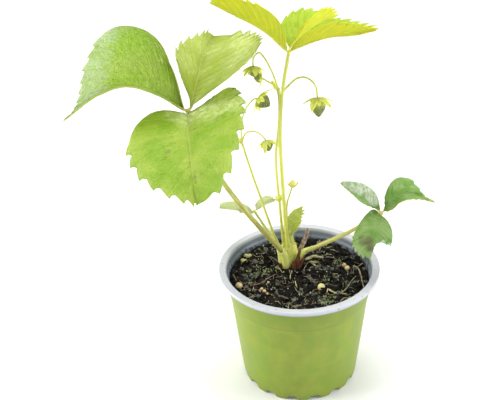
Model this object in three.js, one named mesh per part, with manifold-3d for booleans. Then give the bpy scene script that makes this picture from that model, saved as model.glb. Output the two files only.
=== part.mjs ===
// A strawberry plant in a round nursery pot: pot, soil, crown, five leaves, two fruit trusses and a bud.
// Millimetres, +Z up, origin at the middle of the pot's underside.

import * as THREE from 'three';
import { mergeVertices } from 'three/addons/utils/BufferGeometryUtils.js';
import Module from 'manifold-3d';

const wasm = await Module();
wasm.setup();

// ---- driving dimensions -------------------------------------------------------------------

const CLEARANCE = 0.3;

const POT = {
  height: 70,
  rimRadius: 45,
  rimInner: 40.9,
  rimThickness: 0.9,
  lipDrop: 2.4,
  topRadius: 40.6,
  baseRadius: 32.8,
  wall: 1,
  floor: 3.6,
  grooveHeight: 54,
  ledgeHeight: 65.2,
  ledgeStep: 0.8,
  feet: 16,
  footGap: 5.8,
  footHeight: 2.4,
  padRadius: 21,
  drainHoles: 8,
  drainRadius: 2.2,
  drainCircle: 26.5,
  segments: 48,
};

const SOIL = { level: 59.6, edgeDrop: 1.2, lump: 0.9, rings: 8, segments: 36 };
const GRAINS = { count: 12, radius: 1.7, innerRadius: 15, outerRadius: 34 };

const CROWN = { x: -3.9, y: 17, radius: 6.8, foot: 50.3, shoulder: 60.5, top: 65 };
const SHEATH = { start: 4, length: 15, baseWall: 1.7, tipWall: 0.75 };

const BLADE = 0.7;
const PLEAT = 0.35;
const TOOTH_TIP = 0.74;
const STEM_SIDES = 8;

// Stems run from the crown outwards: a list of points, and the radius at the foot and at the end.
const PETIOLES = {
  leaf_left: {
    radii: [1.5, 1.15],
    points: [
      [-6.2, 13.6, 58], [-8.2, 10.8, 71], [-17.8, 5, 88], [-31, -1, 110.5],
      [-42.5, -5, 133], [-51.5, -7, 159], [-55, -8, 169.7],
    ],
  },
  leaf_top: {
    radii: [1.25, 0.85],
    points: [
      [-3.4, 15.3, 58], [-4.8, 13.6, 70], [-6.3, 12, 87], [-8, 12, 121],
      [-8.7, 12, 146], [-7.3, 11, 168.5], [-3.6, 10, 192],
    ],
  },
  leaf_small: {
    radii: [0.9, 0.7],
    points: [[-7.6, 20.4, 58], [-11.2, 22, 70], [-18.7, 26, 81.5], [-23.6, 30, 88.7]],
  },
  leaf_young: {
    radii: [1.4, 0.9],
    points: [[-1, 19, 58], [-2.4, 17, 70], [-4.4, 14.8, 83.4]],
  },
  leaf_right: {
    radii: [1.25, 0.95],
    points: [
      [0.4, 15, 58], [1.9, 12.2, 69], [11.3, 7, 77.7], [19.9, 4.5, 83.5],
      [30.1, 2, 90.5], [44.6, -2, 103],
    ],
  },
};

// Leaflets: rib points from base to tip, the way the upper face looks at the base and at the tip, half
// widths to the left and right of the rib, how far each half folds up at the base and at the tip, how
// each bends towards its edge, how the edge is rounded, the share of it that is smooth, and its teeth.
const LEAFLETS = {
  leaf_left: [
    {
      rib: [[-57, -8, 171], [-69, -8, 179.5], [-83, -8, 184.5], [-98, -9, 181], [-115.5, -12, 170]],
      face: [[0.1, -0.3, 1], [-0.1, -0.3, 1]],
      halfWidth: [24, 38], foldBase: [46, 45], foldTip: [34, -26], curl: [0, -9],
      teeth: 8, toothDepth: [0.05, 0.02], firstTooth: [40, 15], bare: 0.3,
      bluntness: [0.85, 2.6], taper: [2, 5], belly: [0.86, 0.91], sweep: 1.8,
    },
    {
      rib: [[-53.5, -6, 171.5], [-51, 12, 177.5], [-48, 30, 183.5], [-42, 49, 187]],
      face: [[-0.5, -0.3, 1], [-0.4, -0.1, 1]],
      halfWidth: [17.8, 38], foldBase: [95, 21], foldTip: [80, -7], curl: [-20, 0],
      teeth: 8, toothDepth: [0.05, 0.06], firstTooth: [45, 21], bare: 0.3,
      bluntness: [5.5, 0.63], taper: [0.52, 0.7], belly: [1.34, 1.43], sweep: 1.6,
    },
    {
      rib: [[-55.5, -10.5, 169.3], [-54, -30, 166], [-52.5, -48, 159], [-50, -66, 149]],
      face: [[-0.05, -0.2, 1], [0, -0.45, 1]],
      halfWidth: [28.4, 28.6], foldBase: [8, 27], foldTip: [22, 6], curl: [0, -15],
      teeth: 8, toothDepth: [0.085, 0.06], firstTooth: [0, 0], bare: 0.34,
      bluntness: [0.64, 0.57], taper: [0.88, 2.4], belly: [2.8, 1.06], lobe: [0.21, 0.04], sweep: 1.9,
    },
  ],
  leaf_top: [
    {
      rib: [[-4.5, 9, 193.5], [-16.4, 4, 206.5], [-28.1, 0, 214.5], [-41.2, -4, 223]],
      face: [[0.5, 0.5, 1], [0.4, 0.5, 1]],
      halfWidth: [12, 14], foldBase: [42, 30], foldTip: [34, 20],
      teeth: 7, toothDepth: [0.09, 0.08], firstTooth: [20, 50], bare: 0.25,
      bluntness: [1.7, 0.85], taper: [1.16, 1.3], belly: [0.77, 0.86],
    },
    {
      rib: [[-3.2, 12, 194], [3.4, 21, 196], [11, 30, 197.5], [22, 39, 198]],
      face: [[-0.3, -0.3, 1], [-0.2, 0, 1]],
      halfWidth: [14.5, 12], foldBase: [30, 60], foldTip: [30, 60],
      teeth: 7, toothDepth: [0.08, 0.08], firstTooth: [50, 50], bare: 0.2,
      taper: [1.2, 1.2],
    },
    {
      rib: [[-2.6, 9.3, 193.6], [7.2, 6, 198.6], [17, 4, 201.6], [29, 2, 202.6], [38.3, 0, 205]],
      face: [[-0.3, 0.5, 1], [0.1, 0.5, 1]],
      halfWidth: [15, 11.8], foldBase: [28, 42], foldTip: [20, 34],
      teeth: 7, toothDepth: [0.08, 0.09], firstTooth: [50, 15], bare: 0.3,
      bluntness: [0.85, 1.87], taper: [1.2, 2.4], belly: [0.86, 0.84],
    },
  ],
  leaf_small: [
    {
      rib: [[-24.5, 29.5, 89], [-33, 27.5, 92], [-43.6, 26, 94.5]],
      face: [[0, -0.2, 1], [-0.2, -0.2, 1]],
      halfWidth: [4, 5.2], foldBase: [30, 12], foldTip: [20, 8],
      teeth: 4, toothDepth: [0.08, 0.08], firstTooth: [30, 30], taper: [1, 1],
    },
    {
      rib: [[-24.5, 28.5, 88.8], [-28, 25.5, 91], [-31.8, 22.5, 92.6]],
      face: [[0, -0.2, 1], [-0.1, -0.2, 1]],
      halfWidth: [3.8, 4], foldBase: [25, 15], foldTip: [20, 15],
      teeth: 4, toothDepth: [0.08, 0.08], firstTooth: [30, 30], taper: [1, 1],
    },
    {
      rib: [[-22.8, 31, 89.2], [-17.5, 33.5, 91.5], [-11.5, 36, 92.5]],
      face: [[0, -0.3, 1], [0.2, -0.3, 1]],
      halfWidth: [4.4, 2.8], foldBase: [12, 30], foldTip: [12, 30],
      teeth: 4, toothDepth: [0.08, 0.08], firstTooth: [30, 30], taper: [1, 1],
    },
  ],
  leaf_young: [
    {
      rib: [[-4.5, 14.4, 81], [-5.2, 13.6, 89.5], [-2.6, 13.4, 95.6], [2.2, 13.2, 99.6]],
      face: [[1, 0.3, 0.1], [0.8, 0.4, -0.6]],
      halfWidth: [7, 7], foldBase: [60, 60], foldTip: [60, 60],
      teeth: 5, toothDepth: [0.05, 0.05], firstTooth: [40, 40], taper: [1.1, 1.1], sweep: 1.3,
    },
  ],
  leaf_right: [
    {
      rib: [[43.8, -1.4, 104.5], [34, 4, 111.3], [24, 8, 117.5]],
      face: [[0, -0.2, 1], [0.3, -0.3, 1]],
      halfWidth: [8, 8.8], foldBase: [20, 15], foldTip: [25, -15],
      teeth: 6, toothDepth: [0.06, 0.02], firstTooth: [15, 15], bare: 0.35,
      bluntness: [2.6, 2.1], taper: [0.63, 1.6], belly: [0.86, 1.02],
    },
    {
      rib: [[45.8, -1, 104], [50, 2, 109], [58, 3, 112], [66, 2, 111], [73, 0, 108]],
      face: [[-0.5, -0.1, 1], [0.2, -0.1, 1]],
      halfWidth: [10.8, 9.6], foldBase: [42, -5], foldTip: [10, 20], curl: [-15, 15],
      teeth: 6, toothDepth: [0.03, 0.05], firstTooth: [15, 15], bare: 0.45,
      bluntness: [4.6, 0.92], taper: [10, 0.8], belly: [1.09, 1.1],
    },
    {
      rib: [[44.5, -3.2, 102.3], [41, -10, 99], [37.5, -16, 93], [34.6, -21, 87]],
      face: [[0, -0.4, 1], [0.1, -1, 1]],
      halfWidth: [10.6, 10.2], foldBase: [15, 5], foldTip: [-10, -10], curl: [-20, -25],
      teeth: 6, toothDepth: [0.05, 0.05], firstTooth: [0, 0], bare: 0.45,
      bluntness: [1.25, 0.79], taper: [1.04, 1.59], belly: [0.84, 0.58], lobe: [0.01, 0.36],
      bite: { side: 0, along: 0.64, out: 2.6 },
    },
  ],
};

const TRUSSES = {
  fruit_truss_upper: {
    stem: {
      radii: [0.95, 0.75],
      points: [
        [-6.2, 18.2, 58], [-7.4, 17, 70], [-9.3, 15.6, 98], [-11, 16, 130],
        [-9.3, 16, 147], [-8.6, 16, 160], [-9.1, 16, 171],
      ],
    },
    pedicels: [
      {
        radii: [0.6, 0.45],
        points: [
          [-9.1, 16, 170], [-12.1, 15, 179.6], [-16.5, 13, 189.2], [-18.6, 12, 191.4],
          [-21.3, 10.6, 189.6], [-21.8, 10, 184.5],
        ],
      },
      {
        radii: [0.6, 0.5],
        points: [[-8.9, 16.2, 168], [-10.4, 17, 170.7], [-14.2, 18, 173.2], [-17.6, 18, 175.4]],
      },
      {
        radii: [0.65, 0.5],
        points: [
          [-8.8, 16, 165], [-3.9, 16, 171.1], [1, 12.5, 176.7], [5.7, 8.6, 178.1],
          [9.4, 6.2, 174.9], [10.7, 6, 167.5],
        ],
      },
    ],
    fruits: [
      { calyx: [-21.8, 10, 184.5], axis: [0, -0.1, -1], radius: 3.2, length: 5.6, droop: 0.7 },
      { calyx: [-17.6, 18, 175.4], axis: [-1, 0, 0.1], radius: 2.6, length: 4, droop: 0.25 },
      { calyx: [10.7, 6, 167.5], axis: [0.05, -0.1, -1], radius: 4, length: 9.8, droop: 0.75 },
    ],
    bracts: [
      { at: [-9.1, 16, 169], tip: [-12.5, 14.8, 175], width: 2.2 },
      { at: [-9.3, 15.6, 107], tip: [-6.5, 14.2, 111.5], width: 4 },
    ],
  },
  fruit_truss_lower: {
    stem: {
      radii: [0.95, 0.7],
      points: [
        [-8.8, 16.4, 58], [-10.4, 14.8, 71], [-16, 15.5, 91], [-20.5, 18, 106],
        [-24, 20, 117.5], [-29.4, 24, 136.4],
      ],
    },
    pedicels: [
      {
        radii: [0.55, 0.45],
        points: [
          [-29.2, 24, 135.6], [-26.8, 24, 141.3], [-22.2, 24, 142.1], [-18.6, 24, 140.1],
          [-15.8, 24, 136.2],
        ],
      },
      {
        radii: [0.5, 0.45],
        points: [
          [-29.2, 24, 135.8], [-29, 22, 148], [-26.2, 20, 157.6], [-22, 16.5, 164.2],
          [-19.4, 14.8, 165.4],
        ],
      },
    ],
    fruits: [
      { calyx: [-15.8, 24, 136.2], axis: [0.25, -0.3, -1], radius: 3.3, length: 6, droop: 0.7 },
      { calyx: [-19.4, 14.8, 165.4], axis: [0.8, -0.35, -0.5], radius: 3.9, length: 7.4, droop: 1 },
    ],
    bracts: [{ at: [-29.4, 24, 135.5], tip: [-33.2, 23, 140], width: 2.4 }],
  },
};

const FRUIT = {
  sides: 8,
  seeds: 7,
  seedRadius: 0.45,
  seedOut: 0.86,
  sepals: 8,
  sepalThickness: 0.6,
  notch: 0.75,
  shortTip: 1.6,
  longTip: 2,
};

const BUD = {
  stem: {
    radii: [0.85, 0.55],
    points: [
      [-4, 20, 58], [-4.6, 18.6, 72], [-5.5, 18, 88], [-5.2, 17.6, 100],
      [-3.4, 17.2, 107], [-2.2, 17, 111],
    ],
  },
  fruits: [
    { calyx: [-2.2, 17, 111], axis: [0.1, 0, 1], radius: 1.9, length: 3.4, droop: 0.9, sepalScale: 0.75 },
  ],
};

const SCALES = [
  { at: [-2.2, 11.4, 61], tip: [-1.6, 10.6, 72], width: 4.2 },
  { at: [1.6, 13, 61], tip: [3.4, 11, 69], width: 3 },
];
const DRY_STALK = {
  radii: [1.1, 0.8],
  points: [[0.4, 17.6, 58], [2.6, 17.6, 68], [5.5, 18, 76], [6.6, 18.4, 83]],
};

// ---- materials ----------------------------------------------------------------------------

const finish = (color, roughness) => new THREE.MeshStandardMaterial({ color, roughness, metalness: 0 });

const FINISHES = {
  pot: finish(0x9db84a, 0.45),
  soil: finish(0x2a241d, 0.95),
  crown: finish(0xb9bf5a, 0.6),
  leaf_left: finish(0x8cbb3c, 0.5),
  leaf_top: finish(0xb9cc2e, 0.5),
  leaf_small: finish(0xb4c88a, 0.6),
  leaf_young: finish(0x8fb93a, 0.55),
  leaf_right: finish(0x5f9a4a, 0.5),
  fruit_truss_upper: finish(0xb5bd4a, 0.55),
  fruit_truss_lower: finish(0xb5bd4a, 0.55),
  bud_stalk: finish(0xb5bd4a, 0.55),
};

// ---- solids -------------------------------------------------------------------------------

const vector = (point) => new THREE.Vector3(...point);
const mix = THREE.MathUtils.lerp;
const radians = THREE.MathUtils.degToRad;

// A closed geometry as a solid, with its faces turned outwards.
function solidOf(geometry) {
  const bare = geometry.clone();
  bare.deleteAttribute('normal');
  bare.deleteAttribute('uv');
  const merged = mergeVertices(bare, 1e-5);
  const position = merged.attributes.position;
  const triangles = [];
  let volume = 0;
  for (let i = 0; i < merged.index.count; i += 3) {
    const [a, b, c] = [0, 1, 2].map((corner) => merged.index.getX(i + corner));
    if (a === b || b === c || c === a) continue;
    triangles.push(a, b, c);
    const [pa, pb, pc] = [a, b, c].map((at) => new THREE.Vector3().fromBufferAttribute(position, at));
    volume += pa.dot(pb.cross(pc));
  }
  if (volume < 0) triangles.reverse();
  const mesh = new wasm.Mesh({
    numProp: 3,
    vertProperties: new Float32Array(position.array),
    triVerts: new Uint32Array(triangles),
  });
  return new wasm.Manifold(mesh);
}

function geometryOf(solid) {
  const mesh = solid.getMesh();
  const geometry = new THREE.BufferGeometry();
  geometry.setAttribute('position', new THREE.BufferAttribute(new Float32Array(mesh.vertProperties), 3));
  geometry.setIndex(new THREE.BufferAttribute(new Uint32Array(mesh.triVerts), 1));
  geometry.computeVertexNormals();
  return geometry;
}

const fuse = (solids) => solids.reduce((whole, solid) => whole.add(solid));

// A lathe about the Z axis from points [radius, height].
function turned(profile, segments) {
  const points = profile.map(([radius, height]) => new THREE.Vector2(radius, height));
  return new THREE.LatheGeometry(points, segments).rotateX(Math.PI / 2);
}

// A cylinder bent along a smooth curve, tapering from the first radius to the last.
function stem({ points, radii, sides = STEM_SIDES, stretch = 7 }, extra = 0) {
  const curve = new THREE.CatmullRomCurve3(points.map(vector));
  const steps = Math.max(3, Math.ceil(curve.getLength() / stretch));
  const frames = curve.computeFrenetFrames(steps);
  const geometry = new THREE.CylinderGeometry(1, 1, 1, sides, steps);
  const position = geometry.attributes.position;
  for (let i = 0; i < position.count; i += 1) {
    const along = position.getY(i) + 0.5;
    const step = Math.round(along * steps);
    const radius = mix(radii[0], radii[1], along) + extra;
    const point = curve.getPointAt(step / steps);
    point.addScaledVector(frames.normals[step], position.getX(i) * radius);
    point.addScaledVector(frames.binormals[step], position.getZ(i) * radius);
    position.setXYZ(i, point.x, point.y, point.z);
  }
  return solidOf(geometry);
}

// A leaf blade: rows run from the rib to the edge along the side veins, a few across its smooth part,
// then one to each tooth tip and one to each notch, so that the face is pleated between the veins.
function blade(leaflet, columns = 3) {
  const { rib, face, halfWidth, foldBase, foldTip, curl = [0, 0] } = leaflet;
  const { teeth, toothDepth, firstTooth, taper, bare = 0.3, sweep = 1.5, bite } = leaflet;
  const { bluntness = [0.85, 0.85], belly = [0.86, 0.86], lobe = [0, 0] } = leaflet;
  const curve = new THREE.CatmullRomCurve3(rib.map(vector));
  const length = curve.getLength();
  const facing = face.map(vector);
  const pitch = (1 - bare) / teeth;
  const rows = [0, 1, 2].map((step) => ({ k: bare * step / 3, wave: 0, rise: 0 }));
  for (let tooth = 0; tooth < teeth; tooth += 1) {
    rows.push({ k: bare + pitch * tooth, wave: tooth > 0 ? -1 : 0, rise: PLEAT });
    if (tooth < teeth - 1) rows.push({ k: bare + pitch * (tooth + TOOTH_TIP), wave: 1, rise: -PLEAT });
  }
  rows.push({ k: 1, wave: 0, rise: 0 });

  const top = [];
  const under = [];
  for (const { k, wave, rise } of rows) {
    const folds = [0, 1].map((side) => radians(mix(foldBase[side], foldTip[side], k)));
    for (let column = -columns; column <= columns; column += 1) {
      const side = column < 0 && k < 1 ? 0 : 1;
      const s = k === 1 ? 0 : Math.abs(column) / columns;
      const turn = radians(mix(firstTooth[side], 180, k));
      const back = lobe[side] * Math.sin(Math.PI * Math.min(2 * k, 1));
      const edgeAlong = ((1 - Math.cos(turn)) / 2) ** belly[side] - back;
      const roundness = mix(bluntness[side], taper[side], k);
      const wholeOut = halfWidth[side] * Math.max(Math.sin(turn), 0) ** roundness;
      const bitten = bite && side === bite.side && edgeAlong > bite.along;
      const edgeOut = bitten ? Math.min(wholeOut, bite.out) : wholeOut;
      const atEdge = s === 1 ? 1 : 0;
      const forward = atEdge * Math.max(wave, 0) * 0.4 * pitch;
      const u = Math.min(mix(k ** sweep, edgeAlong, s ** 1.2) + forward, 1);
      const v = edgeOut * s * (1 + atEdge * wave * toothDepth[side] * Math.min(1, 4 * k));
      const angle = folds[side] + radians(curl[side] * s / 2);
      const slope = folds[side] + radians(curl[side] * s);
      const onRib = Math.max(u, 0);
      const tangent = curve.getTangentAt(onRib);
      const normal = facing[0].clone().lerp(facing[1], onRib);
      normal.addScaledVector(tangent, -normal.dot(tangent)).normalize();
      const right = tangent.clone().cross(normal);
      const across = right.clone().multiplyScalar(side === 0 ? -1 : 1);
      let skin = normal.clone().multiplyScalar(Math.cos(slope)).addScaledVector(across, -Math.sin(slope));
      if (s === 0) {
        const lean = (folds[0] - folds[1]) / 2;
        skin = normal.clone().multiplyScalar(Math.cos(lean)).addScaledVector(right, Math.sin(lean));
        skin.divideScalar(Math.cos((folds[0] + folds[1]) / 2));
      }
      const point = curve.getPointAt(onRib).addScaledVector(tangent, Math.min(u, 0) * length);
      point.addScaledVector(across, v * Math.cos(angle));
      point.addScaledVector(normal, v * Math.sin(angle));
      point.addScaledVector(skin, rise * Math.sin(Math.PI * s * 0.8));
      top.push(point);
      under.push(point.clone().addScaledVector(skin, -BLADE));
    }
  }

  const width = 2 * columns + 1;
  const count = top.length;
  const index = [];
  const quad = (a, b, c, d) => index.push(a, b, c, a, c, d);
  for (let row = 0; row < rows.length - 1; row += 1) {
    for (let column = 0; column < width - 1; column += 1) {
      const near = row * width + column;
      const far = near + width;
      const leftHalf = [near + 1, far + 1, far, near];
      const [a, b, c, d] = column < columns ? leftHalf : [near, near + 1, far + 1, far];
      quad(a, b, c, d);
      index.push(count + a, count + c, count + b, count + a, count + d, count + c);
    }
    const left = row * width;
    const right = left + width - 1;
    quad(left, left + width, left + width + count, left + count);
    quad(right + width, right, right + count, right + width + count);
  }
  for (let column = 0; column < width - 1; column += 1) {
    quad(column + 1, column, column + count, column + 1 + count);
  }
  const geometry = new THREE.BufferGeometry();
  const corners = [...top, ...under].flatMap((point) => point.toArray());
  geometry.setAttribute('position', new THREE.BufferAttribute(new Float32Array(corners), 3));
  geometry.setIndex(index);
  return solidOf(geometry);
}

function leaf(name) {
  const petiole = PETIOLES[name];
  const joint = vector(petiole.points.at(-1));
  const parts = [stem(petiole)];
  parts.push(solidOf(new THREE.IcosahedronGeometry(petiole.radii[1] * 1.4, 0).translate(...joint.toArray())));
  for (const leaflet of LEAFLETS[name]) {
    const first = vector(leaflet.rib[0]);
    const second = vector(leaflet.rib[1]);
    const reach = first.clone().lerp(second, 0.35);
    const thickness = petiole.radii[1];
    const points = [joint, first, reach].map((point) => point.toArray());
    parts.push(stem({ points, radii: [thickness * 0.8, thickness * 0.5], sides: 6 }));
    parts.push(blade(leaflet, leaflet.teeth > 8 ? 3 : 2));
  }
  return fuse(parts);
}

// A flat pointed scale from its foot to its tip.
function scale({ at, tip, width }, depth = BLADE) {
  const outline = new THREE.Shape();
  const length = vector(tip).distanceTo(vector(at));
  outline.moveTo(-width * 0.3, 0);
  outline.lineTo(-width * 0.5, length * 0.4);
  outline.lineTo(0, length);
  outline.lineTo(width * 0.5, length * 0.4);
  outline.lineTo(width * 0.3, 0);
  const geometry = new THREE.ExtrudeGeometry(outline, { depth, bevelEnabled: false });
  geometry.translate(0, 0, -depth / 2);
  const along = vector(tip).sub(vector(at)).normalize();
  geometry.applyQuaternion(new THREE.Quaternion().setFromUnitVectors(new THREE.Vector3(0, 1, 0), along));
  geometry.translate(...at);
  return solidOf(geometry);
}

// A ring of pointed sepals as one star, bent down (or up, for a negative droop) towards its tips.
function calyx(radius, droop, sepalScale = 1) {
  const star = new THREE.CylinderGeometry(1, 1, FRUIT.sepalThickness, 2 * FRUIT.sepals, 1);
  star.rotateX(Math.PI / 2);
  const position = star.attributes.position;
  for (let i = 0; i < position.count; i += 1) {
    const [x, y, z] = [position.getX(i), position.getY(i), position.getZ(i)];
    if (Math.hypot(x, y) < 0.5) continue;
    const corner = Math.round(Math.atan2(y, x) * FRUIT.sepals / Math.PI + 2 * FRUIT.sepals);
    const tip = corner % 4 ? FRUIT.shortTip : FRUIT.longTip;
    const reach = radius * sepalScale * (corner % 2 ? FRUIT.notch : tip);
    const sag = reach * droop * (corner % 2 ? 0.5 : 1);
    position.setXYZ(i, x * reach, y * reach, z + sag);
  }
  return solidOf(star);
}

// A small green fruit with seeds hanging from its calyx, along its axis.
function fruit({ calyx: at, axis, radius, length, droop, sepalScale }) {
  const body = [[0, -0.1], [0.75, 0], [1, 0.3], [0.82, 0.65], [0.4, 0.93], [0, 1]];
  const parts = [solidOf(turned(body.map(([r, h]) => [r * radius, h * length]), FRUIT.sides))];
  for (let seed = 0; seed < FRUIT.seeds; seed += 1) {
    const turn = (seed + 0.5) * 2 * Math.PI / FRUIT.seeds;
    const out = radius * FRUIT.seedOut;
    const bump = new THREE.OctahedronGeometry(FRUIT.seedRadius).scale(1, 1, 1.4);
    parts.push(solidOf(bump.translate(out * Math.cos(turn), out * Math.sin(turn), length * 0.5)));
  }
  parts.push(calyx(radius, droop, sepalScale));
  const up = new THREE.Vector3(0, 0, 1);
  const turn = new THREE.Quaternion().setFromUnitVectors(up, vector(axis).normalize());
  const place = new THREE.Matrix4().compose(vector(at), turn, new THREE.Vector3(1, 1, 1));
  return fuse(parts).transform(place.toArray());
}

const truss = ({ stem: main, pedicels = [], fruits, bracts = [] }) => fuse([
  stem(main),
  ...pedicels.map((pedicel) => stem({ ...pedicel, sides: 6, stretch: 3.5 })),
  ...fruits.map(fruit),
  ...bracts.map((bract) => scale(bract)),
]);

// ---- pot and soil -------------------------------------------------------------------------

const outerRadius = (height) => mix(POT.baseRadius, POT.topRadius, height / (POT.height - POT.lipDrop));
const innerRadius = (height) => outerRadius(height) - POT.wall;

function pot() {
  const { height, rimRadius, rimInner, rimThickness, lipDrop } = POT;
  const { floor, grooveHeight, ledgeHeight, ledgeStep } = POT;
  const under = height - rimThickness;
  const profile = [
    [0, 0],
    [POT.baseRadius - 0.7, 0],
    [outerRadius(0.8), 0.8],
    [outerRadius(floor), floor],
    [outerRadius(floor) + 0.25, floor + 0.3],
    [outerRadius(grooveHeight) + 0.1, grooveHeight],
    [outerRadius(grooveHeight) + 0.45, grooveHeight + 0.4],
    [outerRadius(ledgeHeight) + 0.45, ledgeHeight],
    [rimInner + 0.3, ledgeHeight + 0.8],
    [rimInner + 0.5, under],
    [rimRadius - 0.8, under],
    [rimRadius - 0.8, height - lipDrop],
    [rimRadius, height - lipDrop],
    [rimRadius, height - 0.5],
    [rimRadius - 0.5, height],
    [rimInner + 0.5, height],
    [rimInner, height - 0.4],
    [rimInner - 0.7, ledgeHeight + 0.5],
    [rimInner - 0.7 - ledgeStep, ledgeHeight - 0.5],
    [innerRadius(floor), floor],
    [0, floor],
  ];
  const beyond = POT.baseRadius + 5;
  const channels = [];
  for (let gap = 0; gap < POT.feet; gap += 1) {
    const turn = (gap + 0.5) * 2 * Math.PI / POT.feet - Math.PI / 2;
    const channel = new THREE.BoxGeometry(beyond - POT.padRadius, POT.footGap, POT.footHeight + 1);
    channel.translate((beyond + POT.padRadius) / 2, 0, (POT.footHeight - 1) / 2);
    channels.push(solidOf(channel.rotateZ(turn)));
    if (gap % (POT.feet / POT.drainHoles) === 0) {
      const hole = new THREE.CylinderGeometry(POT.drainRadius, POT.drainRadius, 4 * floor, 8);
      hole.rotateX(Math.PI / 2).translate(POT.drainCircle, 0, 0);
      channels.push(solidOf(hole.rotateZ(turn)));
    }
  }
  return solidOf(turned(profile, POT.segments)).subtract(fuse(channels));
}

const ground = (x, y) => SOIL.level
  - SOIL.edgeDrop * (Math.hypot(x, y) / POT.rimInner) ** 2
  + SOIL.lump * (Math.sin(0.31 * x + 0.5) * Math.cos(0.27 * y) + 0.6 * Math.sin(0.55 * x - 0.43 * y + 1.3));

function soil() {
  const bottom = POT.floor + CLEARANCE;
  const rim = innerRadius(SOIL.level) - CLEARANCE;
  const profile = [[0, bottom], [innerRadius(bottom) - CLEARANCE - 0.3, bottom]];
  for (let ring = SOIL.rings; ring >= 0; ring -= 1) profile.push([rim * ring / SOIL.rings, SOIL.level]);
  const geometry = turned(profile, SOIL.segments);
  const position = geometry.attributes.position;
  for (let i = 0; i < position.count; i += 1) {
    if (position.getZ(i) > SOIL.level - 1) position.setZ(i, ground(position.getX(i), position.getY(i)));
  }
  const parts = [solidOf(geometry)];
  for (let grain = 0; grain < GRAINS.count; grain += 1) {
    const turn = grain * 2.4;
    const out = mix(GRAINS.innerRadius, GRAINS.outerRadius, (grain * 0.618) % 1);
    const at = [out * Math.cos(turn), out * Math.sin(turn)];
    const radius = GRAINS.radius * mix(0.7, 1, (grain * 0.37) % 1);
    const ball = new THREE.SphereGeometry(radius, 6, 4);
    parts.push(solidOf(ball.translate(at[0], at[1], ground(...at) + 0.3)));
  }
  const hole = new THREE.CylinderGeometry(CROWN.radius + CLEARANCE, CROWN.radius + CLEARANCE, 30, 16);
  hole.rotateX(Math.PI / 2).translate(CROWN.x, CROWN.y, CROWN.foot - CLEARANCE + 15);
  return fuse(parts).subtract(solidOf(hole));
}

// ---- crown --------------------------------------------------------------------------------

const STEMS = [
  ...Object.values(PETIOLES),
  ...Object.values(TRUSSES).map((part) => part.stem),
  BUD.stem,
];

// The first stretch of a stem, wrapped in the sheath that it grows from.
function sheath({ points, radii }) {
  const curve = new THREE.CatmullRomCurve3(points.map(vector));
  const stretch = [0, 0.25, 0.5, 0.75, 1].map((part) => {
    const along = mix(SHEATH.start, SHEATH.length, part) / curve.getLength();
    return curve.getPointAt(along).toArray();
  });
  const walls = [radii[0] + SHEATH.baseWall, radii[0] + SHEATH.tipWall];
  return stem({ points: stretch, radii: walls, stretch: 5 });
}

function crown() {
  const { x, y, radius, foot, shoulder, top } = CROWN;
  const profile = [
    [0, foot],
    [radius * 0.7, foot],
    [radius, foot + 3],
    [radius, shoulder],
    [radius * 0.6, top],
    [0, top],
  ];
  const stock = solidOf(turned(profile, 16).translate(x, y, 0));
  const scales = SCALES.map((part) => scale(part, 0.8));
  const growth = fuse([stock, ...STEMS.map(sheath), ...scales, stem(DRY_STALK)]);
  return growth.subtract(fuse(STEMS.map((part) => stem(part, CLEARANCE))));
}

// ---- the plant ----------------------------------------------------------------------------

const solids = {
  pot: pot(),
  soil: soil(),
  crown: crown(),
  leaf_left: leaf('leaf_left'),
  leaf_top: leaf('leaf_top'),
  leaf_small: leaf('leaf_small'),
  leaf_young: leaf('leaf_young'),
  leaf_right: leaf('leaf_right'),
  fruit_truss_upper: truss(TRUSSES.fruit_truss_upper),
  fruit_truss_lower: truss(TRUSSES.fruit_truss_lower),
  bud_stalk: truss(BUD),
};

const group = new THREE.Group();
group.name = 'potted_strawberry_plant';
for (const [name, solid] of Object.entries(solids)) {
  const mesh = new THREE.Mesh(geometryOf(solid), FINISHES[name]);
  mesh.name = name;
  group.add(mesh);
}

export default group;
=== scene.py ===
import math
import random

import bmesh
import bpy
from mathutils import Matrix, Vector, noise


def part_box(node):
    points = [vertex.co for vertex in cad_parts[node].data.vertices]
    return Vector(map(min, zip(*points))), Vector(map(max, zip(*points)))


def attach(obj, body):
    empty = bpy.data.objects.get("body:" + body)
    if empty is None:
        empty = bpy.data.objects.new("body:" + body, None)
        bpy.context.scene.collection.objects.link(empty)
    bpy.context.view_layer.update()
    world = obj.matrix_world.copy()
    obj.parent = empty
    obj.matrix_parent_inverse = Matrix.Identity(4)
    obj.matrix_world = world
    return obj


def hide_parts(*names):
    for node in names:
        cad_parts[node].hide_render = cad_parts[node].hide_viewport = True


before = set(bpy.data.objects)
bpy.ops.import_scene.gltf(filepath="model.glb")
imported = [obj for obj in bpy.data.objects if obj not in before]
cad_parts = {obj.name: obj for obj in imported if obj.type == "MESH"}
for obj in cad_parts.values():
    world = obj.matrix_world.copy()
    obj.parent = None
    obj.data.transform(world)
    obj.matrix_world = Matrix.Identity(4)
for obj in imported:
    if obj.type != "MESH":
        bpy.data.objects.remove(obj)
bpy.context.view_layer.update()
print("frame loaded")

# Lengths are in millimetres, and finishPiece turns a piece into metres. The studio's are in metres.
mm = 0.001
tiny = 0.0001
anyTurn = (0, 6.3)
chance = random.Random(41)


def lerp(start, end, share):
    return start + (end - start) * share


def clamp(value):
    return max(0.0, min(1.0, value))


def smooth(low, high, value):
    share = clamp((value - low) / (high - low))
    return share * share * (3 - 2 * share)


# The camera, the floor and the lights.

view = {
    "place": (-25.93, -419.58, 350.64),
    "right": (0.999261, -0.018939, -0.033446),
    "up": (0.038436, 0.49237, 0.869537),
    "lens": 64.8,
    "sensor": 36,
    "clip": 10,
}


def link(name, data):
    made = bpy.data.objects.new(name, data)
    bpy.context.collection.objects.link(made)
    return made


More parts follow.
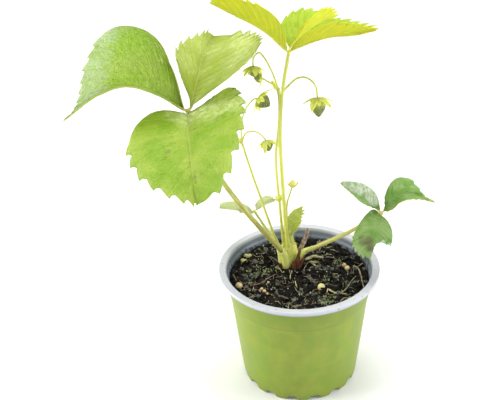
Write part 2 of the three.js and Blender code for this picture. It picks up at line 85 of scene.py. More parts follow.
def meshFrom(name, bm):
    mesh = bpy.data.meshes.new(name)
    bm.to_mesh(mesh)
    bm.free()
    return mesh


def setCamera():
    camera = link("camera", bpy.data.cameras.new("camera"))
    right = Vector(view["right"])
    up = Vector(view["up"])
    turn = Matrix((right, up, right.cross(up))).transposed().to_4x4()
    camera.matrix_world = Matrix.Translation(Vector(view["place"]) * mm) @ turn
    camera.data.lens = view["lens"]
    camera.data.sensor_width = view["sensor"]
    camera.data.clip_start = view["clip"] * mm
    bpy.context.scene.camera = camera


studio = {
    "floorSize": 8.0,
    "floorTones": ((0.9, 0.9, 0.895), (0.93, 0.93, 0.925)),
    "world": (0.93, 0.96, 1.0),
    "worldStrength": 0.42,
    "lamps": {
        "keyLamp": {"place": (-1.0, -0.1, 0.8), "size": 0.7, "power": 10.8, "color": (1.0, 0.985, 0.95)},
        "sideLamp": {"place": (-1.25, 0.15, 0.2), "size": 0.5, "power": 9, "color": (1.0, 0.96, 0.9)},
        "topLamp": {"place": (0.05, 0.25, 1.15), "size": 0.8, "power": 9.4, "color": (1.0, 0.98, 0.93)},
        "fillLamp": {"place": (1.0, -0.15, 0.5), "size": 0.8, "power": 9.5, "color": (0.98, 0.98, 1.0)},
        "frontLamp": {"place": (0.2, -1.3, 0.4), "size": 1.0, "power": 4.2, "color": (1.0, 1.0, 0.98)},
    },
    "aim": (0, 0, 0.11),
}


def setStudio():
    scene = bpy.context.scene
    scene.view_settings.view_transform = "Standard"
    world = bpy.data.worlds.new("studio")
    world.use_nodes = True
    background = world.node_tree.nodes["Background"]
    background.inputs["Color"].default_value = (*studio["world"], 1)
    background.inputs["Strength"].default_value = studio["worldStrength"]
    scene.world = world
    for name, lamp in studio["lamps"].items():
        data = bpy.data.lights.new(name, "AREA")
        data.shape = "DISK"
        data.size = lamp["size"]
        data.energy = lamp["power"]
        data.color = lamp["color"]
        made = link(name, data)
        made.location = lamp["place"]
        aim = Vector(studio["aim"]) - made.location
        made.rotation_euler = aim.to_track_quat("-Z", "Y").to_euler()

    bm = bmesh.new()
    bmesh.ops.create_grid(bm, x_segments=1, y_segments=1, size=studio["floorSize"] / 2)
    floor = link("floor", meshFrom("floor", bm))
    finish = patchFinish("floor", studio["floorTones"], 60, 3, roughness=0.7, Specular_IOR_Level=0.2)
    floor.data.materials.append(finish)


class Reading:
    # One output of a node, so that shader maths can be written as an expression.
    def __init__(self, finish, socket):
        self.finish = finish
        self.socket = socket

    def maths(self, operation, *values):
        return self.finish.node("ShaderNodeMath", {"operation": operation}, dict(enumerate(values)))

    def __add__(self, other):
        return self.maths("ADD", self, other)

    def __radd__(self, other):
        return self.maths("ADD", other, self)

    def __sub__(self, other):
        return self.maths("SUBTRACT", self, other)

    def __rsub__(self, other):
        return self.maths("SUBTRACT", other, self)

    def __mul__(self, other):
        return self.maths("MULTIPLY", self, other)

    def __abs__(self):
        return self.maths("ABSOLUTE", self)

    def fraction(self):
        return self.maths("FRACT", self)

    def most(self, other):
        return self.maths("MAXIMUM", self, other)

    # 0 where this is at low and 1 where it is at high, with soft ends.
    def between(self, low, high):
        settings = {"interpolation_type": "SMOOTHSTEP"}
        return self.finish.node("ShaderNodeMapRange", settings, {"Value": self, 1: low, 2: high})


class Finish:
    # One material and its node tree.
    def __init__(self, name):
        self.material = bpy.data.materials.new(name)
        self.material.use_nodes = True
        self.tree = self.material.node_tree
        self.tree.nodes.clear()

    def node(self, kind, settings=None, inputs=None, output=0):
        made = self.tree.nodes.new(kind)
        for name, value in (settings or {}).items():
            setattr(made, name, value)
        for name, value in (inputs or {}).items():
            if isinstance(value, Reading):
                self.tree.links.new(value.socket, made.inputs[name])
            else:
                made.inputs[name].default_value = value
        return Reading(self, made.outputs[output])

    def place(self):
        return self.node("ShaderNodeTexCoord", output="Object")

    def parts(self, vector):
        return [self.node("ShaderNodeSeparateXYZ", None, {0: vector}, axis) for axis in "XYZ"]

    def joined(self, x, y):
        return self.node("ShaderNodeCombineXYZ", None, {0: x, 1: y, 2: 0.0})

    # 0 at one height and 1 at the other.
    def rising(self, low, high):
        return self.parts(self.place())[2].between(low * mm, high * mm)

    # The u and v that wrapGrid leaves on a mesh.
    def growth(self):
        return self.parts(self.node("ShaderNodeUVMap", {"uv_map": "growth"}))[:2]

    # A value that each of the mesh's points carries.
    def tint(self, name):
        return self.node("ShaderNodeAttribute", {"attribute_name": name}, output="Fac")

    # Noise from 0 to 1 in lumps about size across, in millimetres or in the vector's own measure.
    def cloud(self, size, detail, vector=None, roughness=0.5):
        inputs = {"Vector": vector or self.place(), "Detail": detail, "Roughness": roughness}
        inputs["Scale"] = 1 / size if vector else 1 / (size * mm)
        return self.node("ShaderNodeTexNoise", None, inputs)

    # Upright streaks about size wide. The smaller squeeze is, the longer they are.
    def streaks(self, size, detail, squeeze):
        inputs = {0: self.place(), 1: (1 / mm, 1 / mm, squeeze)}
        squeezed = self.node("ShaderNodeVectorMath", {"operation": "MULTIPLY"}, inputs)
        return self.cloud(size, detail, squeezed)

    def blend(self, share, first, second):
        colors = [value if isinstance(value, Reading) else (*value, 1) for value in (first, second)]
        inputs = {0: share, 6: colors[0], 7: colors[1]}
        return self.node("ShaderNodeMix", {"data_type": "RGBA"}, inputs, 2)

    def bump(self, height, distance):
        inputs = {"Height": height, "Distance": distance * mm, "Strength": 1}
        return self.node("ShaderNodeBump", None, inputs)

    # Closes the material: a Principled shader, with light coming through it where glow is given.
    def surface(self, color, roughness, normal=None, glow=None, glowShare=0.4, **constants):
        inputs = {"Base Color": color if isinstance(color, Reading) else (*color, 1)}
        inputs["Roughness"] = roughness
        if normal:
            inputs["Normal"] = normal
        inputs.update({name.replace("_", " "): value for name, value in constants.items()})
        shader = self.node("ShaderNodeBsdfPrincipled", None, inputs)
        if glow:
            through = {"Color": (*glow, 1)}
            if normal:
                through["Normal"] = normal
            behind = self.node("ShaderNodeBsdfTranslucent", None, through)
            shader = self.node("ShaderNodeMixShader", None, {0: glowShare, 1: shader, 2: behind})
        output = self.tree.nodes.new("ShaderNodeOutputMaterial")
        self.tree.links.new(shader.socket, output.inputs["Surface"])
        return self.material


# A plain finish: patches of two colours, and a fine relief as (size, detail, depth).
def patchFinish(name, colors, size, detail, ends=None, relief=None, **rest):
    finish = Finish(name)
    share = finish.cloud(size, detail)
    if ends:
        share = share.between(*ends)
    if relief:
        rest["normal"] = finish.bump(finish.cloud(*relief[:2]), relief[2])
    return finish.surface(finish.blend(share, *colors), **rest)


class Path:
    # A centripetal Catmull-Rom curve through its points, read by the share of its length.
    def __init__(self, points, stepsPerSpan=20):
        knots = [Vector(point) for point in points]
        knots = [2 * knots[0] - knots[1], *knots, 2 * knots[-1] - knots[-2]]
        self.points = [knots[1].copy()]
        for before, start, end, after in zip(knots, knots[1:], knots[2:], knots[3:]):
            spans = ((before, start), (start, end), (end, after))
            gaps = [max((b - a).length, 0.0001) ** 0.5 for a, b in spans]
            chord = (end - start) / gaps[1]
            leave = (start - before) / gaps[0] - (end - before) / (gaps[0] + gaps[1]) + chord
            arrive = chord - (after - start) / (gaps[1] + gaps[2]) + (after - end) / gaps[2]
            leave *= gaps[1]
            arrive *= gaps[1]
            bend = -3 * start + 3 * end - 2 * leave - arrive
            turn = 2 * start - 2 * end + leave + arrive
            for step in range(1, stepsPerSpan + 1):
                t = step / stepsPerSpan
                self.points.append(start + leave * t + bend * t ** 2 + turn * t ** 3)
        self.reach = [0.0]
        for first, second in zip(self.points, self.points[1:]):
            self.reach.append(self.reach[-1] + (second - first).length)
        self.length = self.reach[-1]

    def spot(self, share):
        want = clamp(share) * self.length
        low, high = 0, len(self.reach) - 1
        while high - low > 1:
            middle = (low + high) // 2
            if self.reach[middle] <= want:
                low = middle
            else:
                high = middle
        part = (want - self.reach[low]) / max(self.reach[high] - self.reach[low], 1e-9)
        return low, part

    def at(self, share):
        low, part = self.spot(share)
        return self.points[low].lerp(self.points[low + 1], part)

    def heading(self, share):
        low, part = self.spot(share)
        here = self.points[low + 1] - self.points[low]
        other = min(max(low + (1 if part > 0.5 else -1), 0), len(self.points) - 2)
        beside = self.points[other + 1] - self.points[other]
        return here.normalized().lerp(beside.normalized(), abs(part - 0.5)).normalized()

    # The direction out of the curve at an angle round it, from a reference direction.
    def outward(self, share, angle, reference):
        along = self.heading(share)
        first = (reference - along * reference.dot(along)).normalized()
        return first * math.cos(angle) + along.cross(first) * math.sin(angle)


# A grid whose points go where place(u, v) says, with u and v kept as its UV map, or what uvOf
# makes of them and of the face's middle v. Faces are left out where gone says so.
def wrapGrid(bm, columns, rows, place, closed=False, uvOf=None, material=0, gone=None):
    made = bmesh.ops.create_grid(bm, x_segments=columns, y_segments=rows, size=0.5)["verts"]
    layer = bm.loops.layers.uv.get("growth") or bm.loops.layers.uv.new("growth")
    spots = {vert: (vert.co.x + 0.5, vert.co.y + 0.5) for vert in made}
    lost = []
    for face in {face for vert in made for face in vert.link_faces}:
        face.material_index = material
        middle = [sum(spots[vert][axis] for vert in face.verts) / len(face.verts) for axis in (0, 1)]
        for loop in face.loops:
            u, v = spots[loop.vert]
            loop[layer].uv = uvOf(u, v, middle[1]) if uvOf else (u, v)
        if gone and gone(*middle):
            lost.append(face)
    for vert, (u, v) in spots.items():
        vert.co = place(u, v)
    if lost:
        bmesh.ops.delete(bm, geom=lost, context="FACES")
    if closed:
        bmesh.ops.remove_doubles(bm, verts=made, dist=0.0004)


# A round stem along a path. radiusAt(share) gives its radius; its ends are closed.
def growStem(bm, path, radiusAt, sides, rowLength, ribs=0, ribDepth=0.0, material=0, across=(0, 1, 0)):
    rows = max(6, math.ceil(path.length / rowLength))
    reference = Vector(across)

    def place(u, v):
        angle = u * 2 * math.pi
        radius = radiusAt(v) * (1 + ribDepth * math.cos(ribs * angle))
        if v < tiny or v > 1 - tiny:
            radius = 0
        return path.at(v) + path.outward(v, angle, reference) * radius

    wrapGrid(bm, sides, rows, place, closed=True, material=material)


# Copies of a small mesh, each turned, sized and put in its place by a matrix.
def scatter(bm, template, places):
    for place in places:
        copy = template.copy()
        copy.transform(place)
        bm.from_mesh(copy)
        bpy.data.meshes.remove(copy)


def smallMesh(name, build):
    bm = bmesh.new()
    build(bm)
    return meshFrom(name, bm)


# A matrix that puts a piece at a point, with its own Z along a direction.
def standing(point, direction, size, spin=0.0):
    turn = Vector(direction).to_track_quat("Z", "Y").to_matrix().to_4x4()
    spun = turn @ Matrix.Rotation(spin, 4, "Z")
    return Matrix.Translation(point) @ spun @ Matrix.Diagonal((*size, 1))


# Fine hairs of the plant. slot is the material slot that they take on every hairy piece, and they
# start at the share sunk of the stem's radius.
hairs = {"slot": 1, "radius": 0.05, "onPetiole": 1.25, "onStalk": 0.9, "sunk": 0.9}


def hairMesh():
    def build(bm):
        bmesh.ops.create_cone(bm, segments=3, radius1=hairs["radius"], depth=1, cap_ends=False)
        bmesh.ops.translate(bm, vec=(0, 0, 0.5), verts=bm.verts)
        for face in bm.faces:
            face.material_index = hairs["slot"]
    return smallMesh("hair", build)


# Places for hairs that stand out round a stem, from the share low of its length on.
def hairsOn(path, radiusAt, count, length, low):
    places = []
    for _ in range(count):
        share = chance.uniform(low, 1)
        side = path.outward(share, chance.uniform(0, 2 * math.pi), Vector((0, 1, 0)))
        lean = side + path.heading(share) * chance.uniform(-0.35, 0.55)
        long = length * chance.uniform(0.55, 1.2)
        foot = path.at(share) + side * radiusAt(share) * hairs["sunk"]
        places.append(standing(foot, lean, (1, 1, long)))
    return places


# Turns a bmesh into the piece that shows for a node. A wall gives an open sheet its thickness.
def finishPiece(bm, name, node, materials, wall=None):
    bmesh.ops.scale(bm, vec=(mm, mm, mm), verts=bm.verts)
    mesh = meshFrom(name, bm)
    mesh.polygons.foreach_set("use_smooth", [True] * len(mesh.polygons))
    for material in materials:
        mesh.materials.append(material)
    piece = link(name, mesh)
    if wall:
        solid = piece.modifiers.new("wall", "SOLIDIFY")
        solid.thickness = wall * mm
        solid.offset = -1
        solid.material_offset = 1
        solid.material_offset_rim = 1
        solid.use_even_offset = False
    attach(piece, "root")
    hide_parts(node)
    return piece


# The pot: a thin formed cup, green outside, with a grey rim and lining.

potBox = [corner / mm for corner in (*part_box("pot")[0], *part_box("pot")[1])]

# lip, swell and corner shape its outline, and row is the longest step along it. The pairs at the
# end are heights between which a shade fades.
pot = {
    "height": potBox[5],
    "rim": (potBox[3] - potBox[0]) / 2,
    "mouth": 40.9,
    "rimDepth": 2.4,
    "rimSheet": 0.9,
    "lip": 0.8,
    "top": 40.6,
    "base": 32.8,
    "sheet": 1.0,
    "floor": 3.6,
    "groove": 54,
    "swell": 0.45,
    "ledge": 65.2,
    "corner": 0.6,
    "row": 3.2,
    "feet": 16,
    "footGap": 5.8,
    "footHeight": 2.4,
    "pad": 21,
    "drains": 8,
    "drain": 2.2,
    "drainRing": 26.5,
    "segments": 384,
    "footShade": (0, 9),
    "grooveShade": (50, 58),
    "liningShade": (69.2, 67.2),
    "splashShade": (67, 61.5),
}


def potOuter(height):
    return lerp(pot["base"], pot["top"], height / (pot["height"] - pot["rimDepth"]))


# The corners of an outline cut back and rounded with a few points each.
def rounded(corners, cut):
    steps = 3
    points = [Vector(corners[0])]
    for before, corner, after in zip(corners, corners[1:], corners[2:]):
        here = Vector(corner)
        ends = []
        for other in (before, after):
            side = Vector(other) - here
            ends.append(here + side.normalized() * min(cut, side.length * 0.45))
        for step in range(steps + 1):
            share = step / steps
            points.append(ends[0].lerp(here, share).lerp(here.lerp(ends[1], share), share))
    return [*points, Vector(corners[-1])]


def potOutline():
    height, sheet, floor = pot["height"], pot["sheet"], pot["floor"]
    under = height - pot["rimSheet"]
    lip = pot["rim"] - pot["lip"]
    groove, ledge, mouth, swell = pot["groove"], pot["ledge"], pot["mouth"], pot["swell"]
    outside = rounded([
        (0, 0), (pot["base"] - 0.1, 0), (potOuter(floor) + 0.1, floor),
        (potOuter(groove), groove), (potOuter(groove) + swell, groove + 0.5),
        (potOuter(ledge) + swell, ledge), (mouth + 0.3, ledge + 0.8), (mouth + 0.5, under),
        (lip, under), (lip, height - pot["rimDepth"]),
        (pot["rim"], height - pot["rimDepth"]), (pot["rim"], height), (mouth, height),
        (mouth - 0.7, ledge + 0.5), (mouth - 1.5, ledge - 0.5),
        (potOuter(groove) - sheet, groove), (potOuter(floor) - sheet, floor), (0, floor),
    ], pot["corner"])
    points = [outside[0]]
    for start, end in zip(outside, outside[1:]):
        pieces = max(1, round((end - start).length / pot["row"]))
        points += [start.lerp(end, piece / pieces) for piece in range(1, pieces + 1)]
    return points


# How far the underside is arched up between two feet.
def footArch(x, y):
    radius = math.hypot(x, y)
    pitch = 2 * math.pi / pot["feet"]
    turn = (math.atan2(y, x) + math.pi / 2) % pitch - pitch / 2
    aside = radius * math.sin(abs(turn))
    half = pot["footGap"] / 2
    between = 1 - smooth(half - 1, half + 0.9, aside)
    return pot["footHeight"] * between * smooth(pot["pad"] - 1, pot["pad"] + 1, radius)


def potFinish():
    finish = Finish("potGreen")
    mottle = finish.cloud(11, 2).between(0.35, 0.68)
    streaks = finish.streaks(3.2, 3, 160).between(0.3, 0.75)
    color = finish.blend(mottle * 0.8, (0.175, 0.243, 0.014), (0.235, 0.292, 0.022))
    color = finish.blend(streaks * 0.12, color, (0.3, 0.36, 0.07))
    color = finish.blend(finish.rising(*pot["footShade"]) * -0.3 + 0.3, color, (0.14, 0.19, 0.02))
    patches = finish.cloud(16, 3).between(0.48, 0.66)
    color = finish.blend(patches * 0.28, color, (0.13, 0.27, 0.012))
    # Painted shade: a darker band round the groove, and a dark line of painted shadow along its step.
    color = finish.blend(finish.rising(*pot["grooveShade"]) * 0.25, color, (0.12, 0.17, 0.014))
    height = finish.parts(finish.place())[2]
    grooveShadow = abs(height - (pot["groove"] + 0.2) * mm).between(0.6 * mm, 0.1 * mm)
    color = finish.blend(grooveShadow * 0.6, color, (0.1, 0.14, 0.012))
    grain = finish.cloud(0.5, 2) * 0.4 + finish.cloud(9, 2)
    return finish.surface(color, 0.38 + mottle * 0.12, finish.bump(grain, 0.12), Specular_IOR_Level=0.42)


def rimFinish():
    finish = Finish("potGrey")
    wear = finish.cloud(2.6, 4).between(0.5, 0.8)
    color = finish.blend(wear * 0.5, (0.5, 0.515, 0.56), (0.4, 0.41, 0.44))
    # Painted shade: the lining turns dark slate below the rim, and near the soil it takes black splashes
    # that are partly soil stains and partly painted shadow.
    color = finish.blend(finish.rising(*pot["liningShade"]), color, (0.16, 0.19, 0.235))
    soilStainAndShadow = finish.cloud(2.2, 5) + finish.rising(*pot["splashShade"]) * 0.3
    soilStainAndShadow = soilStainAndShadow.between(0.64, 0.76)
    color = finish.blend(soilStainAndShadow * 0.85, color, (0.025, 0.02, 0.016))
    grain = finish.cloud(0.6, 3)
    return finish.surface(color, 0.42 + soilStainAndShadow * 0.4, finish.bump(grain, 0.1), Specular_IOR_Level=0.5)


# Cylinders where the drain holes go, in metres.
def drainPlugs(bm):
    for drain in range(pot["drains"]):
        turn = (2 * drain + 0.5) * 2 * math.pi / pot["feet"] - math.pi / 2
        place = Matrix.Translation((pot["drainRing"], 0, pot["floor"] / 2))
        place = Matrix.Rotation(turn, 4, "Z") @ place
        bmesh.ops.create_cone(bm, segments=24, radius1=pot["drain"], radius2=pot["drain"],
                              depth=3 * pot["floor"], cap_ends=True, matrix=place)
    bmesh.ops.scale(bm, vec=(mm, mm, mm), verts=bm.verts)


def makePot():
    bm = bmesh.new()
    verts = [bm.verts.new((point.x, 0, point.y)) for point in potOutline()]
    edges = [bm.edges.new(pair) for pair in zip(verts, verts[1:])]
    bmesh.ops.spin(bm, geom=verts + edges, axis=(0, 0, 1), cent=(0, 0, 0), angle=2 * math.pi,
                   steps=pot["segments"], use_merge=True)
    bmesh.ops.remove_doubles(bm, verts=bm.verts, dist=0.001)
    top = pot["floor"] - 0.1
    for vert in bm.verts:
        x, y, z = vert.co
        inside = math.hypot(x, y) < potOuter(z) - pot["sheet"] / 2 and z > top
        if z < top and not inside:
            arch = footArch(x, y)
            vert.co.z = arch + z * (1 - arch / top)
    bmesh.ops.recalc_face_normals(bm, faces=bm.faces)
    rimFoot = pot["height"] - pot["rimDepth"] - 0.2
    for face in bm.faces:
        x, y, z = face.calc_center_median()
        radius = math.hypot(x, y)
        outwards = face.normal.x * x + face.normal.y * y
        lining = z > top and (outwards < -0.2 * radius or (radius < pot["mouth"] and face.normal.z > 0.2))
        rim = z > rimFoot and (face.normal.z > 0.3 or (outwards > 0 and radius > pot["rim"] - 0.6))
        mouth = z > rimFoot and radius < pot["mouth"] + 0.2
        face.material_index = 1 if lining or rim or mouth else 0
    piece = finishPiece(bm, "potShell", "pot", [potFinish(), rimFinish()])

    drains = link("drains", smallMesh("drains", drainPlugs))
    cut = piece.modifiers.new("drains", "BOOLEAN")
    cut.operation = "DIFFERENCE"
    cut.solver = "EXACT"
    cut.object = drains
    shell = piece.evaluated_get(bpy.context.evaluated_depsgraph_get())
    piece.data = bpy.data.meshes.new_from_object(shell)
    piece.modifiers.clear()
    bpy.data.objects.remove(drains)
    print("pot made")


# The soil: dark peat in crumbs, with beads, grains, bark, fibres and moss lying on it.

# Below the shelf the fill keeps off the pot's wall, and nothing is strewn nearer the crown than bare.
soil = {
    "level": 59.6,
    "edgeRise": 3.6,
    "lump": 0.9,
    "radius": 38.9,
    "shelf": 53.6,
    "foot": 3.9,
    "footRadius": 31.8,
    "grid": 210,
    "bare": 7.5,
    "crumbs": 900,
    "crumbSize": 1.7,
    "chips": 46,
    "chipLength": (1.6, 4.2),
    "grains": 340,
    "grainSize": (0.2, 0.5),
    "fibres": 150,
    "fibreLength": (2.5, 8),
    "fibreRadius": (0.1, 0.22),
}

# Where beads of fertiliser lie: x, y, radius and how brown each is.
beads = [
    (11.8, -9.4, 2.1, 0.15), (-33.9, -6.7, 2.05, 0.8), (-29.4, 22.6, 1.5, 0.35), (-27.4, 23.1, 1.4, 0.3),
    (-31.5, 17.2, 1.3, 0.4), (-30.0, 17.4, 1.2, 0.3), (26.9, 12.2, 1.35, 1.0), (28.0, 7.1, 1.5, 0.7),
    (-22.9, -11.4, 1.0, 0.9), (-21.3, -8.6, 1.15, 0.75), (-19.9, -10.5, 1.0, 1.0), (-18.4, -12.1, 0.8, 1.0),
]

# The larger grains of perlite: x, y and size.
perlite = [(-8.1, 7.9, 0.75), (-0.5, 8.8, 0.6), (-17.5, -2.5, 0.8), (11.1, 7.5, 0.6), (-19.1, 33.5, 0.8)]

# The colours of roots and straws, dark and light.
strandTones = {
    "rootBrown": ((0.12, 0.06, 0.035), (0.3, 0.18, 0.11)),
    "rootPale": ((0.2, 0.17, 0.1), (0.42, 0.38, 0.25)),
    "straw": ((0.4, 0.36, 0.14), (0.62, 0.58, 0.32)),
}

# Roots and straws: the radius, which of the tones, and points x, y and height over the soil.
strands = [
    (0.28, 1, [(-37.3, 2.4, 1.6), (-36.5, -1.2, 1.8), (-35.1, -4.3, 1.2)]),
    (0.36, 0, [(-29.5, -6.6, 0.2), (-26.0, -6.2, 0.9), (-22.0, -3.8, 1.3), (-17.0, 0.9, 1.4),
               (-12.4, 5.2, 1.9)]),
    (0.5, 2, [(14.9, -13.2, 1.5), (18.8, -15.6, 1.3), (25.5, -17.7, 0.9)]),
    (0.35, 2, [(15.2, -11.9, 0.4), (14.9, -13.4, 1.4), (14.3, -15.5, 0.5)]),
    (0.3, 1, [(21.2, -17.9, 0.7), (25.3, -12.9, 1.5), (28.6, -7.4, 1.6), (32.3, -1.1, 1.3)]),
    (0.42, 1, [(31.1, 7.8, 1.2), (33.6, 5.8, 1.8), (34.6, 0.1, 1.4), (34.5, -9.3, 1.2),
               (34.6, -15.9, 0.6)]),
    (0.34, 1, [(33.5, 6.2, 1.6), (35.6, 7.0, 2.2), (37.1, 7.4, 2.6)]),
    (0.62, 2, [(7.1, 17.6, 1.2), (8.9, 14.7, 1.0), (10.6, 11.2, 0.6)]),
    (0.2, 1, [(3.4, 9.4, 0.2), (4.2, 13.0, 1.2), (6.3, 15.9, 1.8), (8.5, 18.3, 1.0)]),
    (0.3, 2, [(-2.3, -1.6, 0.8), (-2.2, -4.8, 1.2), (-1.5, -8.1, 0.6)]),
    (0.26, 2, [(-3.4, 7.1, 0.8), (-4.6, 4.7, 1.2), (-4.9, 1.6, 0.6)]),
    (0.3, 1, [(-30.0, -17.6, 0.4), (-28.4, -19.0, 1.3), (-26.2, -17.4, 1.0), (-27.0, -14.8, 0.3)]),
    (0.22, 2, [(-16.1, -25.2, 0.4), (-13.5, -22.0, 1.1), (-11.1, -24.2, 0.8)]),
    (0.26, 1, [(8.7, -31.8, 0.6), (12.1, -29.0, 1.2), (16.2, -30.5, 1.1), (18.4, -33.7, 0.4)]),
    (0.24, 2, [(20.2, -25.3, 0.6), (23.0, -23.3, 1.4), (26.7, -25.9, 0.7)]),
]

# Twigs and bark slivers that stand out: two ends, width and thickness.
slivers = [
    ((2.2, 7.5, 1.6), (9.6, -6.4, 1.3), 1.9, 1.0),
    ((-14.9, 21.2, 1.2), (-6.6, 10.9, 1.4), 1.7, 0.9),
    ((-27.4, 18.3, 1.0), (-19.6, 15.6, 1.2), 1.8, 0.9),
    ((14.0, 22.7, 1.0), (22.3, 18.6, 0.9), 2.2, 1.0),
    ((-12.6, -15.1, 0.8), (-6.6, -18.3, 0.9), 1.5, 0.8),
]

# Patches of moss: centre, radius and how many tufts.
mosses = [
    (-26.4, 6.6, 3.4, 42), (-23.4, 10.9, 2.4, 24), (-17.6, 10.5, 3.4, 44), (-12.8, 11.7, 2.2, 26),
    (-27.8, -1.0, 1.8, 14), (15.7, 1.1, 2.2, 20), (15.0, -19.7, 4.2, 60), (11.6, -22.2, 3.2, 36),
    (27.6, -21.9, 3.0, 26), (-7.9, -24.3, 1.2, 10), (-4.2, -24.5, 1.3, 12), (23.9, 14.9, 3.2, 22),
]


def ground(x, y):
    rise = soil["edgeRise"] * (math.hypot(x, y) / pot["mouth"]) ** 3
    wave = math.sin(0.31 * x + 0.5) * math.cos(0.27 * y) + 0.6 * math.sin(0.55 * x - 0.43 * y + 1.3)
    return soil["level"] + rise + soil["lump"] * wave


# The same ground with its clods and crumbs.
def roughGround(x, y):
    clods = 0.9 - noise.voronoi(Vector((x / 4.6, y / 4.6, 1.7)))[0][0]
    crumbs = 0.8 - noise.voronoi(Vector((x / 1.7, y / 1.7, 5.1)))[0][0]
    rough = noise.fractal(Vector((x / 3.1, y / 3.1, 0.4)), 0.8, 2.2, 4)
    near = smooth(12, 6, math.hypot(x - crown["x"], y - crown["y"]))
    return ground(x, y) + (2.2 * clods + 1.1 * crumbs + 0.9 * rough - 1.4) * (1 - 0.6 * near)


def soilFinish():
    finish = Finish("peat")
    patches = finish.cloud(5.5, 4).between(0.38, 0.68)
    specks = finish.cloud(0.8, 3).between(0.56, 0.74)
    color = finish.blend(patches, (0.003, 0.0028, 0.0026), (0.014, 0.013, 0.01))
    color = finish.blend(specks * 0.6, color, (0.05, 0.046, 0.036))
    moss = finish.cloud(2.4, 3).between(0.64, 0.74)
    color = finish.blend(moss * 0.5, color, (0.035, 0.05, 0.014))
    grain = finish.cloud(0.55, 5, roughness=0.7)
    return finish.surface(color, 0.62 + specks * 0.3, finish.bump(grain, 0.5), Specular_IOR_Level=0.12)


def crumbFinish(name, dark, light):
    finish = Finish(name)
    share = finish.cloud(1.4, 4).between(0.35, 0.7)
    grain = finish.cloud(0.35, 4, roughness=0.7)
    color = finish.blend(share, dark, light)
    return finish.surface(color, 0.7 + share * 0.2, finish.bump(grain, 0.3), Specular_IOR_Level=0.12)


def barkFinish(name, dark, light):
    finish = Finish(name)
    grain = finish.cloud(0.6, 4, roughness=0.65)
    share = finish.cloud(1.8, 3).between(0.35, 0.65)
    color = finish.blend(share, dark, light)
    color = finish.blend(grain.between(0.6, 0.75) * 0.5, color, (0.22, 0.19, 0.15))
    return finish.surface(color, 0.75, finish.bump(grain, 0.35))


def strandFinish(name, dark, light):
    return patchFinish(name, (dark, light), 2.2, 3, (0.35, 0.65), (0.4, 2, 0.15), roughness=0.6)


def beadFinish():
    finish = Finish("fertiliser")
    mottle = finish.cloud(1.1, 4).between(0.4, 0.68)
    color = finish.blend(finish.tint("brown"), (0.6, 0.62, 0.2), (0.6, 0.38, 0.2))
    color = finish.blend(mottle * 0.65, color, (0.74, 0.66, 0.42))
    color = finish.blend(finish.cloud(0.7, 3).between(0.62, 0.72) * 0.6, color, (0.1, 0.07, 0.04))
    return finish.surface(color, 0.34, finish.bump(finish.cloud(0.7, 3), 0.25), Specular_IOR_Level=0.5)


def stoneMesh(name, roughness, subdivisions=2, material=0):
    seed = chance.uniform(0, 90)

    def build(bm):
        bmesh.ops.create_icosphere(bm, subdivisions=subdivisions, radius=1)
        for vert in bm.verts:
            vert.co *= 1 + roughness * noise.noise(vert.co * 1.6 + Vector((seed, 0, 0)))
        for face in bm.faces:
            face.material_index = material
    return smallMesh(name, build)


# A random place on the soil, clear of the crown, with its height.
def soilPlace(spread=1.0):
    while True:
        turn = chance.uniform(0, 2 * math.pi)
        radius = soil["radius"] * spread * math.sqrt(chance.uniform(0, 0.965))
        x, y = radius * math.cos(turn), radius * math.sin(turn)
        if math.hypot(x - crown["x"], y - crown["y"]) > soil["bare"]:
            return x, y, roughGround(x, y)


def makeFill(bm):
    radius = soil["radius"]
    grid = soil["grid"]
    bmesh.ops.create_grid(bm, x_segments=grid, y_segments=grid, size=1)
    for vert in bm.verts:
        x, y = vert.co.xy
        disc = Vector((x * math.sqrt(1 - y * y / 2), y * math.sqrt(1 - x * x / 2))) * radius
        vert.co = (*disc, roughGround(*disc))
    edge = [side for side in bm.edges if side.is_boundary]
    shelf = soil["shelf"]
    for level, width in ((shelf, (potOuter(shelf) - pot["sheet"] - 0.3) / radius),
                         (soil["foot"], soil["footRadius"] / radius)):
        wall = bmesh.ops.extrude_edge_only(bm, edges=edge)["geom"]
        for vert in (part for part in wall if isinstance(part, bmesh.types.BMVert)):
            flat = vert.co.xy.normalized() * radius * width
            vert.co = (*flat, level)
        edge = [side for side in wall if isinstance(side, bmesh.types.BMEdge) and side.is_boundary]
    bmesh.ops.edgeloop_fill(bm, edges=edge)
    bmesh.ops.recalc_face_normals(bm, faces=bm.faces)
    return [soilFinish()]


def makeCrumbs(bm):
    stones = [stoneMesh("crumb", 0.9, 2, tone) for tone in (0, 0, 0, 1, 1, 2)]
    for _ in range(soil["crumbs"]):
        size = chance.uniform(0.35, 1.0) ** 1.6 * soil["crumbSize"]
        x, y, z = soilPlace()
        flat = (size * chance.uniform(0.8, 1.5), size, size * chance.uniform(0.45, 0.8))
        turn = Matrix.Rotation(chance.uniform(*anyTurn), 4, "Z")
        turn = turn @ Matrix.Rotation(chance.uniform(-0.5, 0.5), 4, "X")
        place = Matrix.Translation((x, y, z + size * 0.12)) @ turn @ Matrix.Diagonal((*flat, 1))
        scatter(bm, chance.choice(stones), [place])
    return [
        crumbFinish("crumbBlack", (0.004, 0.0036, 0.0034), (0.016, 0.015, 0.012)),
        crumbFinish("crumbBrown", (0.01, 0.008, 0.006), (0.034, 0.028, 0.021)),
        crumbFinish("crumbGrey", (0.035, 0.038, 0.03), (0.19, 0.2, 0.155)),
    ]


